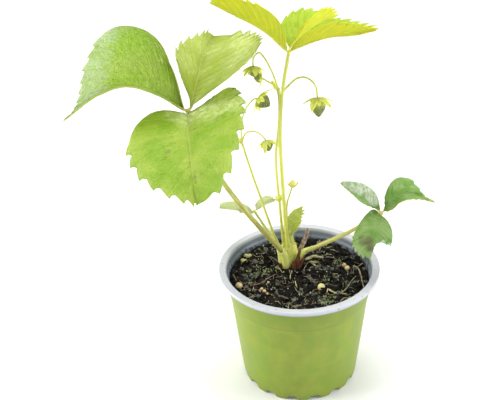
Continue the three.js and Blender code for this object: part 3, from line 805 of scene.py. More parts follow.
def makeChips(bm):
    sliver = stoneMesh("sliver", 0.5)
    placed = list(slivers)
    for _ in range(soil["chips"]):
        x, y, z = soilPlace(0.97)
        turn, long = chance.uniform(*anyTurn), chance.uniform(*soil["chipLength"])
        middle = Vector((x, y, z - ground(x, y)))
        reach = Vector((math.cos(turn), math.sin(turn), chance.uniform(-0.25, 0.25))) * long / 2
        start, end = middle - reach, middle + reach
        if max(start.xy.length, end.xy.length) < soil["radius"] - 1:
            placed.append((start, end, chance.uniform(0.6, 1.3), chance.uniform(0.4, 0.7)))
    for start, end, width, depth in placed:
        points = [Vector((x, y, ground(x, y) + lift)) for x, y, lift in (start, end)]
        along = points[1] - points[0]
        size = (width / 2, depth / 2, along.length / 2)
        middle = sum(points, Vector()) / 2
        scatter(bm, sliver, [standing(middle, along, size, chance.uniform(-0.4, 0.4))])
    return [barkFinish("bark", (0.03, 0.022, 0.018), (0.13, 0.105, 0.09))]


def makeStrands(bm):
    placed = list(strands)
    for _ in range(soil["fibres"]):
        x, y, _ = soilPlace(0.93)
        turn, long = chance.uniform(*anyTurn), chance.uniform(*soil["fibreLength"])
        bend = chance.uniform(-1.2, 1.2)
        points = []
        for step in range(4):
            angle = turn + bend * step / 3
            x += math.cos(angle) * long / 3
            y += math.sin(angle) * long / 3
            if math.hypot(x, y) < soil["radius"] - 0.8:
                points.append((x, y, chance.uniform(0.5, 1.4)))
        if len(points) > 2:
            tone = chance.choice((0, 1, 1, 2))
            placed.append((chance.uniform(*soil["fibreRadius"]), tone, points))
    for radius, tone, points in placed:
        path = Path([(x, y, ground(x, y) + lift) for x, y, lift in points])

        def radiusAt(share):
            return radius * lerp(1, 0.6, share)

        growStem(bm, path, radiusAt, 6, 1.0, material=tone, across=(0, 0, 1))
    return [strandFinish(name, *tones) for name, tones in strandTones.items()]


def makeBeads(bm):
    brown = bm.verts.layers.float.new("brown")
    for x, y, radius, tone in beads:
        made = bmesh.ops.create_icosphere(bm, subdivisions=4, radius=radius)["verts"]
        centre = Vector((x, y, ground(x, y) + radius * 0.5))
        for vert in made:
            vert[brown] = tone
            vert.co = vert.co * (1 + 0.035 * noise.noise(vert.co * 1.3)) + centre
    return [beadFinish()]


def makeGrains(bm):
    stones = [stoneMesh("grain", 0.7, 1) for _ in range(4)]
    spots = list(perlite)
    for _ in range(soil["grains"]):
        x, y, _ = soilPlace(0.98)
        spots.append((x, y, chance.uniform(*soil["grainSize"])))
    for x, y, size in spots:
        axis = Vector([chance.uniform(-1, 1) for _ in range(3)])
        turn = Matrix.Rotation(chance.uniform(0, 2 * math.pi), 4, axis)
        place = Matrix.Translation((x, y, roughGround(x, y) + size * 0.4)) @ turn
        shape = Matrix.Diagonal((size, size * chance.uniform(0.6, 1), size * chance.uniform(0.6, 1), 1))
        scatter(bm, chance.choice(stones), [place @ shape])
    tones = (0.5, 0.47, 0.32), (0.82, 0.82, 0.64)
    return [patchFinish("perlite", tones, 0.7, 3, (0.4, 0.65), (0.3, 3, 0.2), roughness=0.7)]


def makeMoss(bm):
    tuft = stoneMesh("tuft", 0.3, 1)
    for x, y, spread, count in mosses:
        for _ in range(count):
            turn, out = chance.uniform(*anyTurn), spread * math.sqrt(chance.uniform(0, 1))
            px, py = x + out * math.cos(turn), y + out * math.sin(turn)
            lean = Vector((chance.uniform(-0.8, 0.8), chance.uniform(-0.8, 0.8), 1))
            size = (chance.uniform(0.2, 0.42), chance.uniform(0.16, 0.3), chance.uniform(0.45, 1.1))
            scatter(bm, tuft, [standing((px, py, roughGround(px, py) + 0.4), lean, size)])
    tones = (0.14, 0.2, 0.07), (0.6, 0.66, 0.36)
    return [patchFinish("moss", tones, 1.6, 3, (0.35, 0.65), roughness=0.6,
                        glow=(0.5, 0.56, 0.24), glowShare=0.25)]


def makeSoil():
    pieces = {
        "soilFill": makeFill,
        "soilCrumbs": makeCrumbs,
        "barkChips": makeChips,
        "soilStrands": makeStrands,
        "fertiliserBeads": makeBeads,
        "perliteGrains": makeGrains,
        "mossTufts": makeMoss,
    }
    for name, make in pieces.items():
        bm = bmesh.new()
        finishes = make(bm)
        finishPiece(bm, name, "soil", finishes)
    print("soil made")


# The leaves: each has a hairy petiole and leaflets, which repeat the solids' forms in finer steps.

# The blade of every leaflet. Between two notches a tooth's tip lies at tipAt. The teeth show from
# toothFrom outwards. under has shares of the rib and how deep it stands out below.
blade = {
    "wall": 0.34,
    "tipAt": 0.74,
    "tipForward": 0.4,
    "toothFrom": 0.68,
    "toothZone": 0.32,
    "uneven": 0.3,
    "veinsInMap": 20,
    "under": ((0.02, 0.75), (0.14, 0.85), (0.3, 0.75), (0.5, 0.65), (0.72, 0.56)),
}

# How a petiole widens: over which lengths at its foot and its joint, and the knob on the joint.
petiole = {"swell": 0.2, "foot": 22, "joint": 3, "knob": 1.25, "bare": 14}

# Each leaf's petiole, with the colours of its foot, its head and its blush. look is for leaflets
# that don't look as their name says, and grid is a leaflet's rows in a tooth and its columns.
leaves = {
    "leaf_left": {
        "slot": "leaf_green", "radii": (1.5, 1.15), "hairs": 1500, "grid": (15, 52),
        "tones": ((0.36, 0.33, 0.065), (0.37, 0.385, 0.08), (0.17, 0.105, 0.04)),
        "points": [(-6.2, 13.6, 58), (-8.2, 10.8, 71), (-17.8, 5, 88), (-31, -1, 110.5), (-42.5, -5, 133),
                   (-51.5, -7, 159), (-55, -8, 169.7)],
    },
    "leaf_top": {
        "slot": "leaf_young", "look": "young", "radii": (1.25, 0.85), "hairs": 1300,
        "tones": ((0.72, 0.72, 0.11), (0.62, 0.66, 0.11), (0.5, 0.5, 0.07)),
        "points": [(-3.4, 15.3, 58), (-4.8, 13.6, 70), (-6.3, 12, 87), (-8, 12, 121), (-8.7, 12, 146),
                   (-7.3, 11, 168.5), (-3.6, 10, 192)],
    },
    "leaf_small": {
        "slot": "leaf_pale", "look": "small", "radii": (0.9, 0.7), "hairs": 320,
        "tones": ((0.66, 0.7, 0.13), (0.36, 0.48, 0.1), (0.4, 0.44, 0.09)),
        "points": [(-7.6, 20.4, 58), (-11.2, 22, 70), (-18.7, 26, 81.5), (-23.6, 30, 88.7)],
    },
    "leaf_young": {
        "slot": "leaf_green", "radii": (2.3, 1.5), "hairs": 200,
        "tones": ((0.8, 0.82, 0.2), (0.64, 0.74, 0.12), (0.6, 0.64, 0.12)),
        "points": [(-1, 19, 58), (-2.4, 17, 70), (-4.4, 14.8, 83.4)],
    },
    "leaf_right": {
        "slot": "leaf_dark", "look": "dark", "radii": (1.25, 0.95), "hairs": 700,
        "tones": ((0.66, 0.6, 0.19), (0.6, 0.58, 0.17), (0.46, 0.35, 0.11)),
        "points": [(0.4, 15, 58), (1.9, 12.2, 69), (11.3, 7, 77.7), (19.9, 4.5, 83.5), (30.1, 2, 90.5),
                   (44.6, -2, 103)],
    },
}

# What each leaflet has where its own entry says nothing. Pairs are for its two halves.
# bare is the share of the edge with no teeth, sweep and bend how the veins run forward and curve,
# and spike how much the teeth stretch towards the tip. pales are patches of painted highlight, where
# sheen and light are painted into the colour, and spots are dark spots. Both give the share of
# the edge, how far out from the rib, which half, and the radius.
leafletDefaults = {
    "curl": (0, 0),
    "toothDepth": (0.08, 0.08),
    "firstTooth": (30, 30),
    "bare": (0.3, 0.3),
    "bluntness": (0.85, 0.85),
    "taper": (1, 1),
    "belly": (0.86, 0.86),
    "lobe": (0, 0),
    "sweep": 1.5,
    "bend": 1.2,
    "pleat": (0.2, 0.2),
    "crinkle": 0.3,
    "wave": 0.3,
    "spike": 1,
    "spots": (),
    "pales": (),
}

# The form of each leaflet. rib has its midrib's points, and face has the ways that its upper face
# looks at the base and at the tip. The folds are how many degrees a half rises there.
leaflets = {
    "leaf_left": {
        "end": {
            "rib": [(-57, -8, 171), (-69, -8, 179.5), (-83, -8, 184.5), (-98, -9, 181), (-115.5, -12, 170)],
            "face": [(0.1, -0.3, 1), (-0.1, -0.3, 1)],
            "halfWidth": (22, 41), "foldBase": (40, 45), "foldTip": (32, -26), "curl": (0, -9),
            "teeth": (9, 13), "toothDepth": (0.05, 0.011), "firstTooth": (40, 15), "bare": (0.2, 0.5),
            "bluntness": (0.85, 2.5), "taper": (2, 7), "belly": (0.86, 0.9),
            "sweep": 1.8, "pleat": (0.12, 0.1), "crinkle": 0.45, "wave": 0.4,
            "pales": ((0.48, 1, 1, 17), (0.6, 1, 1, 24), (0.72, 1, 1, 27), (0.84, 0.8, 1, 22),
                      (0.95, 0.6, 1, 16)),
        },
        "back": {
            "rib": [(-53.5, -6, 171.5), (-51, 12, 177.5), (-48, 30, 183.5), (-42, 48, 188.6)],
            "face": [(-0.5, -0.3, 1), (-0.4, -0.1, 1)],
            "halfWidth": (17.8, 38), "foldBase": (95, 21), "foldTip": (80, -7), "curl": (-20, 0),
            "teeth": (8, 8), "toothDepth": (0.045, 0.045), "firstTooth": (45, 21), "bare": (0.18, 0.42),
            "bluntness": (5.5, 0.63), "taper": (0.52, 0.7), "belly": (1.34, 1.43),
            "sweep": 1.6, "pleat": (0.15, 0.55), "crinkle": 0.15,
            "pales": ((0.5, 0.7, 1, 16), (0.75, 0.8, 1, 16), (0.45, 0.6, 0, 15), (0.7, 0.6, 0, 14)),
        },
        "front": {
            "rib": [(-55.5, -10.5, 169.3), (-54, -30, 166), (-52.5, -48, 159), (-50, -66, 149)],
            "face": [(-0.05, -0.2, 1), (0, -0.45, 1)],
            "halfWidth": (28.4, 28.6), "foldBase": (8, 27), "foldTip": (22, 6), "curl": (0, -15),
            "teeth": (9, 8), "toothDepth": (0.066, 0.055), "firstTooth": (0, 0), "bare": (0.26, 0.47),
            "bluntness": (0.64, 0.57), "taper": (0.88, 2.4), "belly": (2.8, 1.06), "lobe": (0.21, 0.04),
            "sweep": 1.9, "bend": 1.1, "pleat": (0.22, 0.24), "spike": 0.35,
            "pales": ((0.1, 0.9, 0, 22), (0.25, 0.9, 0, 22), (0.4, 0.9, 0, 18), (0.05, 0.5, 0, 16),
                      (0.2, 0.2, 1, 12)),
            "spots": ((0.5, 0.12, 0, 1.7), (0.62, 0.42, 1, 1.8), (0.86, 0.06, 0, 1.4), (0.84, 0.3, 0, 1.6)),
        },
    },
    "leaf_top": {
        "left": {
            "rib": [(-4.5, 9, 193.5), (-16.4, 4, 206.5), (-28.1, 0, 214.5), (-41.2, -4, 223)],
            "face": [(0.5, 0.5, 1), (0.4, 0.5, 1)],
            "halfWidth": (11.6, 15), "foldBase": (42, 40), "foldTip": (34, 34),
            "teeth": (8, 7), "toothDepth": (0.09, 0.08), "firstTooth": (20, 50), "bare": (0.42, 0.2),
            "bluntness": (1.7, 0.85), "taper": (1.16, 1.3), "belly": (0.77, 0.86),
            "pleat": (0.12, 0.12), "crinkle": 0.15,
        },
        "middle": {
            "rib": [(-3.2, 12, 194), (3.4, 21, 196), (11, 30, 197.5), (22, 39, 198)],
            "face": [(-0.3, -0.3, 1), (-0.2, 0, 1)],
            "halfWidth": (14.5, 12), "foldBase": (30, 60), "foldTip": (30, 60),
            "teeth": (7, 7), "firstTooth": (50, 50), "bare": (0.12, 0.3), "taper": (1.2, 1.2),
        },
        "right": {
            "rib": [(-2.6, 9.3, 193.6), (7.2, 6, 198.6), (17, 4, 201.6), (29, 2, 202.6), (38.3, 0, 205)],
            "face": [(-0.3, 0.5, 1), (0.1, 0.5, 1)],
            "halfWidth": (14, 8.8), "foldBase": (46, 42), "foldTip": (36, 34),
            "teeth": (8, 8), "toothDepth": (0.09, 0.09), "firstTooth": (20, 15), "bare": (0.3, 0.4),
            "bluntness": (1.5, 1.87), "taper": (2, 2.4), "belly": (0.86, 0.84),
            "pleat": (0.12, 0.12), "crinkle": 0.15,
        },
    },
    "leaf_small": {
        "left": {
            "rib": [(-24.5, 29.5, 89), (-33, 27.5, 92), (-43.6, 26, 94.5)],
            "face": [(0, -0.2, 1), (-0.2, -0.2, 1)],
            "halfWidth": (4, 5.2), "foldBase": (30, 12), "foldTip": (20, 8),
            "teeth": (5, 5), "pleat": (0.1, 0.1), "crinkle": 0.25,
        },
        "front": {
            "rib": [(-24.5, 28.5, 88.8), (-28, 25.5, 91), (-31.8, 22.5, 92.6)],
            "face": [(0, -0.2, 1), (-0.1, -0.2, 1)],
            "halfWidth": (3.8, 4), "foldBase": (25, 15), "foldTip": (20, 15),
            "teeth": (5, 5), "pleat": (0.1, 0.1), "crinkle": 0.25,
        },
        "right": {
            "rib": [(-22.8, 31, 89.2), (-17.5, 33.5, 91.5), (-11.5, 36, 92.5)],
            "face": [(0, -0.3, 1), (0.2, -0.3, 1)],
            "halfWidth": (4.4, 2.8), "foldBase": (12, 30), "foldTip": (12, 30),
            "teeth": (5, 5), "pleat": (0.1, 0.1), "crinkle": 0.25,
        },
    },
    "leaf_young": {
        "folded": {
            "rib": [(-4.6, 14.4, 80.5), (-5.6, 13.6, 89.5), (-3, 13.4, 96.2), (2.6, 13.2, 100)],
            "face": [(1, 0.3, 0.1), (0.8, 0.4, -0.6)],
            "halfWidth": (7.6, 7.6), "foldBase": (66, 66), "foldTip": (66, 66),
            "teeth": (6, 6), "toothDepth": (0.05, 0.05), "bare": (0.4, 0.4), "taper": (1.1, 1.1),
            "pleat": (0.5, 0.5), "sweep": 1.8,
        },
    },
    "leaf_right": {
        "left": {
            "rib": [(43.8, -1.4, 104.5), (34, 4, 111.3), (24, 8, 117.5)],
            "face": [(0, -0.2, 1), (0.3, -0.3, 1)],
            "halfWidth": (8, 8.8), "foldBase": (20, 15), "foldTip": (25, -15),
            "teeth": (8, 8), "toothDepth": (0.06, 0.02), "firstTooth": (15, 15), "bare": (0.35, 0.5),
            "bluntness": (2.6, 2.1), "taper": (0.63, 1.6), "belly": (0.86, 1.02),
            "pales": ((0.35, 0.6, 1, 8), (0.6, 0.6, 1, 9), (0.8, 0.4, 1, 8), (0.95, 0, 1, 6)),
        },
        "right": {
            "rib": [(45.8, -1, 104), (50, 2, 109), (58, 3, 112), (66, 2, 111), (73, 0, 108)],
            "face": [(-0.5, -0.1, 1), (0.2, -0.1, 1)],
            "halfWidth": (10.8, 9.6), "foldBase": (42, -5), "foldTip": (10, 20), "curl": (-15, 15),
            "teeth": (7, 7), "toothDepth": (0.03, 0.05), "firstTooth": (15, 15), "bare": (0.5, 0.45),
            "bluntness": (4.6, 0.92), "taper": (10, 0.8), "belly": (1.09, 1.1),
            "pales": ((0.8, 0.9, 0, 4), (0.9, 0.6, 0, 4)),
        },
        "front": {
            "rib": [(44.5, -3.2, 102.3), (41, -10, 99), (37.5, -16, 93), (34.6, -21, 87)],
            "face": [(0, -0.4, 1), (0.1, -1, 1)],
            "halfWidth": (10.6, 10.2), "foldBase": (15, 5), "foldTip": (-10, -10), "curl": (-20, -25),
            "teeth": (7, 7), "toothDepth": (0.05, 0.05), "firstTooth": (0, 0), "bare": (0.5, 0.45),
            "bluntness": (1.25, 0.79), "taper": (1.04, 1.59), "belly": (0.84, 0.58), "lobe": (0.01, 0.36),
            "bite": {"side": 0, "along": 22.4, "out": 9.6, "size": (7.0, 7.2)},
            "pales": ((0.56, 0.9, 0, 3), (0.6, 0.6, 0, 2.4)),
            "spots": ((0.72, 0.3, 1, 4.4), (0.6, 0.62, 1, 2.2), (0.84, 0.2, 0, 3)),
        },
    },
}

# The looks of each kind of leaflet: the upper face in two greens and a pale one, which the painted
# highlight and the edge take, the side veins and how much they show, the midrib, the underside, and
# the light through it with its share. blotch is the size of its patches, and margin how pale its edge
# is.
leafLooks = {
    "end": {"green": (0.25, 0.44, 0.01), "light": (0.33, 0.46, 0.06), "pale": (0.46, 0.56, 0.36),
            "vein": (0.4, 0.55, 0.12), "veins": 0.3, "rib": (0.5, 0.6, 0.16), "under": (0.5, 0.5, 0.14),
            "glow": (0.6, 0.8, 0.08), "share": 0.34, "blotch": 12, "wrinkle": 1.0, "margin": 0.1},
    "back": {"green": (0.31, 0.4, 0.06), "light": (0.43, 0.5, 0.16), "pale": (0.66, 0.72, 0.32),
             "vein": (0.22, 0.33, 0.03), "veins": 0.5, "rib": (0.7, 0.7, 0.3), "under": (0.45, 0.52, 0.15),
             "glow": (0.75, 0.85, 0.14), "share": 0.4, "blotch": 9, "wrinkle": 0.35, "margin": 0.25},
    "front": {"green": (0.16, 0.31, 0.02), "light": (0.36, 0.44, 0.08), "pale": (0.76, 0.78, 0.42),
              "vein": (0.46, 0.58, 0.12), "veins": 0.34, "rib": (0.6, 0.7, 0.2), "under": (0.36, 0.46, 0.12),
              "glow": (0.66, 0.84, 0.1), "share": 0.42, "blotch": 12, "wrinkle": 0.4, "margin": 0.15},
    "young": {"green": (0.24, 0.48, 0.02), "light": (0.38, 0.58, 0.05), "pale": (0.66, 0.74, 0.2),
              "vein": (0.74, 0.74, 0.3), "veins": 0.4, "rib": (0.8, 0.8, 0.4), "under": (0.78, 0.71, 0.05),
              "glow": (1.0, 0.96, 0.09), "topGlow": (0.66, 0.78, 0.12), "share": 0.5, "blotch": 7,
              "wrinkle": 0.35, "margin": 0.2},
    "small": {"green": (0.54, 0.64, 0.34), "light": (0.7, 0.76, 0.48), "pale": (0.8, 0.84, 0.6),
              "vein": (0.72, 0.76, 0.46), "veins": 0.3, "rib": (0.78, 0.8, 0.5), "under": (0.6, 0.66, 0.3),
              "glow": (0.85, 0.9, 0.5), "share": 0.4, "blotch": 5, "wrinkle": 0.3, "margin": 0.4},
    "folded": {"green": (0.5, 0.72, 0.05), "light": (0.66, 0.8, 0.12), "pale": (0.85, 0.88, 0.35),
               "vein": (0.62, 0.7, 0.2), "veins": 0.5, "rib": (0.85, 0.86, 0.45),
               "under": (0.85, 0.92, 0.28), "glow": (0.95, 0.98, 0.25), "share": 0.45, "blotch": 4,
               "wrinkle": 0.4, "margin": 0.8},
    "dark": {"green": (0.13, 0.34, 0.025), "light": (0.33, 0.49, 0.16), "pale": (0.78, 0.84, 0.7),
             "vein": (0.36, 0.48, 0.2), "veins": 0.18, "rib": (0.4, 0.5, 0.22), "under": (0.5, 0.54, 0.06),
             "glow": (0.4, 0.62, 0.1), "share": 0.25, "blotch": 7, "wrinkle": 0.35, "margin": 0.1},
}


# The edge's saw teeth: -1 in a notch, 1 at a tooth's tip, 0 where the edge is smooth.
def toothWave(tooth, teeth):
    if tooth < 0:
        return 0
    whole = min(int(tooth), teeth - 1)
    part = tooth - whole
    tipAt = blade["tipAt"]
    if whole == teeth - 1:
        return lerp(-1, 0, clamp(part) ** 0.6)
    if part < tipAt:
        return lerp(-1 if whole else 0, 1, (part / tipAt) ** 0.6)
    return lerp(1, -1, ((part - tipAt) / (1 - tipAt)) ** 0.9)


class Leaflet:
    def __init__(self, shape, seed):
        self.shape = {**leafletDefaults, **shape}
        self.path = Path(shape["rib"], 40)
        self.faces = [Vector(face) for face in shape["face"]]
        self.seed = seed

    # How many teeth lie before the share k of the edge; less than 0 where it is smooth.
    def tooth(self, k, side):
        bare = self.shape["bare"][side]
        return (k - bare) / (1 - bare) * self.shape["teeth"][side]

    # Where a point lies on the leaflet laid flat: its share of the rib, and how far out it is.
    # k runs along the edge, and s from the rib to the edge.
    def flat(self, k, s, side):
        shape = self.shape
        teeth = shape["teeth"][side]
        turn = math.radians(lerp(shape["firstTooth"][side], 180, k))
        back = shape["lobe"][side] * math.sin(math.pi * min(2 * k, 1))
        edgeAlong = ((1 - math.cos(turn)) / 2) ** shape["belly"][side] - back
        roundness = lerp(shape["bluntness"][side], shape["taper"][side], k)
        edgeOut = shape["halfWidth"][side] * max(math.sin(turn), 0) ** roundness
        tooth = self.tooth(k, side)
        wave = toothWave(tooth, teeth) if k < 1 - tiny else 0
        wave *= 1 + blade["uneven"] * noise.noise(Vector((math.floor(tooth) * 3.7, side * 9.1, self.seed)))
        atEdge = clamp((s - blade["toothFrom"]) / blade["toothZone"]) ** 1.5
        forward = max(wave, 0) * blade["tipForward"] / teeth * (1 - shape["bare"][side])
        depth = shape["toothDepth"][side] * shape["halfWidth"][side] / self.path.length
        forward += wave * depth * shape["spike"] * smooth(0.45, 0.9, k)
        along = lerp(k ** shape["sweep"], edgeAlong, s ** shape["bend"]) + atEdge * forward
        out = edgeOut * s * (1 + atEdge * wave * shape["toothDepth"][side] * min(1, 4 * k))
        return along, out

    def point(self, k, s, side):
        shape = self.shape
        along, out = self.flat(k, s, side)
        fold = lerp(shape["foldBase"][side], shape["foldTip"][side], k)
        angle = math.radians(fold + shape["curl"][side] * s / 2)
        slope = math.radians(fold + shape["curl"][side] * s)
        onRib = clamp(along)
        heading = self.path.heading(onRib)
        normal = self.normal(onRib)
        across = heading.cross(normal) * (-1 if side == 0 else 1)
        skin = normal * math.cos(slope) - across * math.sin(slope) if s > 0 else normal
        point = self.path.at(onRib) + heading * (along - onRib) * self.path.length
        point += across * out * math.cos(angle) + normal * out * math.sin(angle)
        return point + skin * self.relief(k, s, side, out)

    # The way that the upper face looks at a share of the rib.
    def normal(self, share):
        heading = self.path.heading(share)
        normal = self.faces[0].lerp(self.faces[1], share)
        return (normal - heading * normal.dot(heading)).normalized()

    def relief(self, k, s, side, out):
        shape = self.shape
        tooth = self.tooth(k, side)
        toVein = abs((tooth - blade["tipAt"] + 0.5) % 1 - 0.5) * 2
        window = math.sin(math.pi * clamp(s * 0.86 + 0.04)) * min(1, 6 * (1 - k), 12 * k + 0.2)
        rise = shape["pleat"][side] * (1 - 2 * (1 - toVein) ** 2.2) * window
        spot = Vector((tooth * 1.9, s * 6.5, self.seed + side * 5))
        rise += shape["crinkle"] * noise.noise(spot) * window
        rise += shape["wave"] * noise.noise(Vector((k * 3.1, s * 1.7, self.seed * 2 + side))) * 2 * s
        rise -= 0.3 * math.exp(-(out / 0.9) ** 2) * min(1, 8 * (1 - k))
        return rise

    # Whether a point has been eaten away.
    def bitten(self, k, s, side):
        bite = self.shape.get("bite")
        if not bite or bite["side"] != side:
            return False
        along, out = self.flat(k, s, side)
        first = (along * self.path.length - bite["along"]) / bite["size"][0]
        second = (out - bite["out"]) / bite["size"][1]
        return first ** 4 + second ** 4 < 1 + 0.4 * noise.noise(Vector((first * 2, second * 2, 3)))


def leafFinish(name, look, underside):
    finish = Finish(name)
    u, v = finish.growth()
    along = u * blade["veinsInMap"]
    s = abs(v - 0.5) * 2
    toVein = abs((along + (1.5 - blade["tipAt"])).fraction() - 0.5)
    sideVein = 1 - toVein.between(0.015, 0.075)
    midrib = 1 - s.between(0.008, 0.028)
    veins = midrib.most(sideVein * (0.75 - s * 0.45))
    x, y = along * 4.2, (v - 0.5) * 34
    ragged = finish.cloud(0.9, 2, finish.joined(x, y), 0.6)
    cells = {"Vector": finish.joined(x + ragged, y + ragged), "Scale": 1}
    toNet = finish.node("ShaderNodeTexVoronoi", {"feature": "DISTANCE_TO_EDGE"}, cells)
    net = 1 - toNet.between(0.02, 0.16)
    blotch = finish.cloud(look["blotch"], 3).between(0.34, 0.66)
    if underside:
        color = finish.blend(blotch * 0.4, look["under"], look["light"])
        color = finish.blend(veins * 0.5, color, look["rib"])
        height = veins * 0.8 + net * 0.3 + finish.cloud(0.7, 2) * 0.3
        normal = finish.bump(height, 0.16)
        return finish.surface(color, 0.6, normal, look["glow"], look["share"], Specular_IOR_Level=0.3)
    color = finish.blend(blotch, look["green"], look["light"])
    fine = finish.cloud(2.2, 4, roughness=0.6).between(0.35, 0.7)
    color = finish.blend(fine * 0.25, color, look["light"])
    # Painted highlight: pale patches of painted sheen and painted light, where the pale layer says.
    paintedHighlight = (finish.tint("pale") * (0.45 + fine * 0.75)).between(0.0, 1.05)
    color = finish.blend(paintedHighlight, color, look["pale"])
    color = finish.blend(net * 0.14, color, look["vein"])
    color = finish.blend(sideVein * ((1 - s * 0.4) * look["veins"]), color, look["vein"])
    color = finish.blend(midrib * 0.55, color, look["rib"])
    color = finish.blend(s.between(0.9, 0.985) * look["margin"], color, look["pale"])
    rust = s.between(0.965, 1.0) * finish.cloud(5, 2).between(0.46, 0.62)
    color = finish.blend(rust * 0.4, color, (0.2, 0.16, 0.04))
    color = finish.blend(finish.tint("spot") * 0.85, color, (0.15, 0.12, 0.07))
    folds = finish.cloud(3, 3, roughness=0.55)
    height = toNet.between(0.0, 0.3) * 0.4 - veins * 0.6 + folds * 1.2 + finish.cloud(0.5, 2) * 0.12
    normal = finish.bump(height, look["wrinkle"])
    glow = look.get("topGlow", look["glow"])
    return finish.surface(color, 0.36 + fine * 0.14, normal, glow, look["share"], Specular_IOR_Level=0.42)


leafMaterials = {}


def leafMaterial(kind, underside):
    name = kind + ("Under" if underside else "Upper")
    if name not in leafMaterials:
        leafMaterials[name] = leafFinish(name, leafLooks[kind], underside)
    return leafMaterials[name]


# How a node is called in the names of its pieces.
def label(node):
    return node.replace("_", "")


def growLeaflet(node, name, leaflet):
    shape = leaflet.shape
    perTooth, columns = leaves[node].get("grid", (12, 34))
    rows = round(perTooth * max(count / (1 - bare) for count, bare in zip(shape["teeth"], shape["bare"])))

    # How far out from the rib a grid's v lies, and on which half.
    def half(v):
        return abs(2 * v - 1), 0 if 2 * v - 1 > 0 else 1

    def place(k, v):
        return leaflet.point(k, *half(v))

    def growth(k, v, middle):
        side = 0 if middle > 0.5 else 1
        before = math.ceil(-leaflet.tooth(0, side))
        return (before + leaflet.tooth(k, side)) / blade["veinsInMap"], v

    def gone(k, v):
        return leaflet.bitten(k, *half(v))

    bm = bmesh.new()
    wrapGrid(bm, rows, columns, place, uvOf=growth, gone=gone if "bite" in shape else None)
    bmesh.ops.remove_doubles(bm, verts=bm.verts, dist=0.0005)
    # The pale layer marks the patches of painted highlight, and the spot layer marks the dark spots.
    for tint in ("spot", "pale"):
        layer = bm.verts.layers.float.new(tint)
        for k, s, side, radius in shape[tint + "s"]:
            centre = leaflet.point(k, s, side)
            for vert in bm.verts:
                near = (vert.co - centre).length / radius + 0.4 * noise.noise(vert.co * (1.6 / radius))
                vert[layer] = max(vert[layer], 1 - smooth(0.2, 1.1, near))
    kind = leaves[node].get("look", name)
    finishes = [leafMaterial(kind, underside) for underside in (False, True)]
    pieceName = label(node) + name.capitalize()
    finishPiece(bm, pieceName, node, finishes, wall=blade["wall"])


def stemFinish(name, foot, head, blush, blushShare=0.6):
    finish = Finish(name)
    u, v = finish.growth()
    streaks = finish.cloud(1.0, 3, finish.joined(u * 9, v * 5)).between(0.38, 0.66)
    color = finish.blend(v, foot, head)
    color = finish.blend(streaks * 0.4, color, (0.84, 0.84, 0.36))
    patch = finish.cloud(9, 3).between(0.5, 0.66) * streaks.between(0.0, 0.8) * v.between(0.97, 0.9)
    color = finish.blend(patch * blushShare, color, blush)
    normal = finish.bump(streaks * 0.5 + finish.cloud(0.5, 2), 0.12)
    return finish.surface(color, 0.4, normal, (0.9, 0.92, 0.2), 0.25, Specular_IOR_Level=0.45)


def growLeaf(node):
    leaf = leaves[node]
    path = Path(leaf["points"])
    first, last = leaf["radii"]

    def radiusAt(share):
        foot = petiole["swell"] * (1 - smooth(0, petiole["foot"] / path.length, share))
        joint = petiole["swell"] * smooth(1 - petiole["joint"] / path.length, 1, share)
        return lerp(first, last, share) * (1 + foot + joint)

    def ribRadius(share):
        return lerp(last * 0.7, 0.22, share ** 0.5)

    bm = bmesh.new()
    growStem(bm, path, radiusAt, 18, 1.2, ribs=6, ribDepth=0.035)
    joint = path.at(1)
    made = bmesh.ops.create_icosphere(bm, subdivisions=3, radius=last * petiole["knob"])["verts"]
    bmesh.ops.translate(bm, vec=joint, verts=made)
    for name, shape in leaflets[node].items():
        leaflet = Leaflet(shape, 3.7 * len(name) + len(node) + shape["rib"][0][0])
        growLeaflet(node, name, leaflet)
        under = [leaflet.path.at(part) - leaflet.normal(part) * deep for part, deep in blade["under"]]
        growStem(bm, Path([joint, *under]), ribRadius, 10, 1.0)
    low = petiole["bare"] / path.length
    scatter(bm, hair, hairsOn(path, radiusAt, leaf["hairs"], hairs["onPetiole"], low))
    green = stemFinish(label(node) + "Green", *leaf["tones"])
    finishPiece(bm, label(node) + "Stem", node, [green, plantHair])
    print(node, "made")


# The fruit trusses and the bud: thin hairy stalks, fruits with their seeds, and calyces.

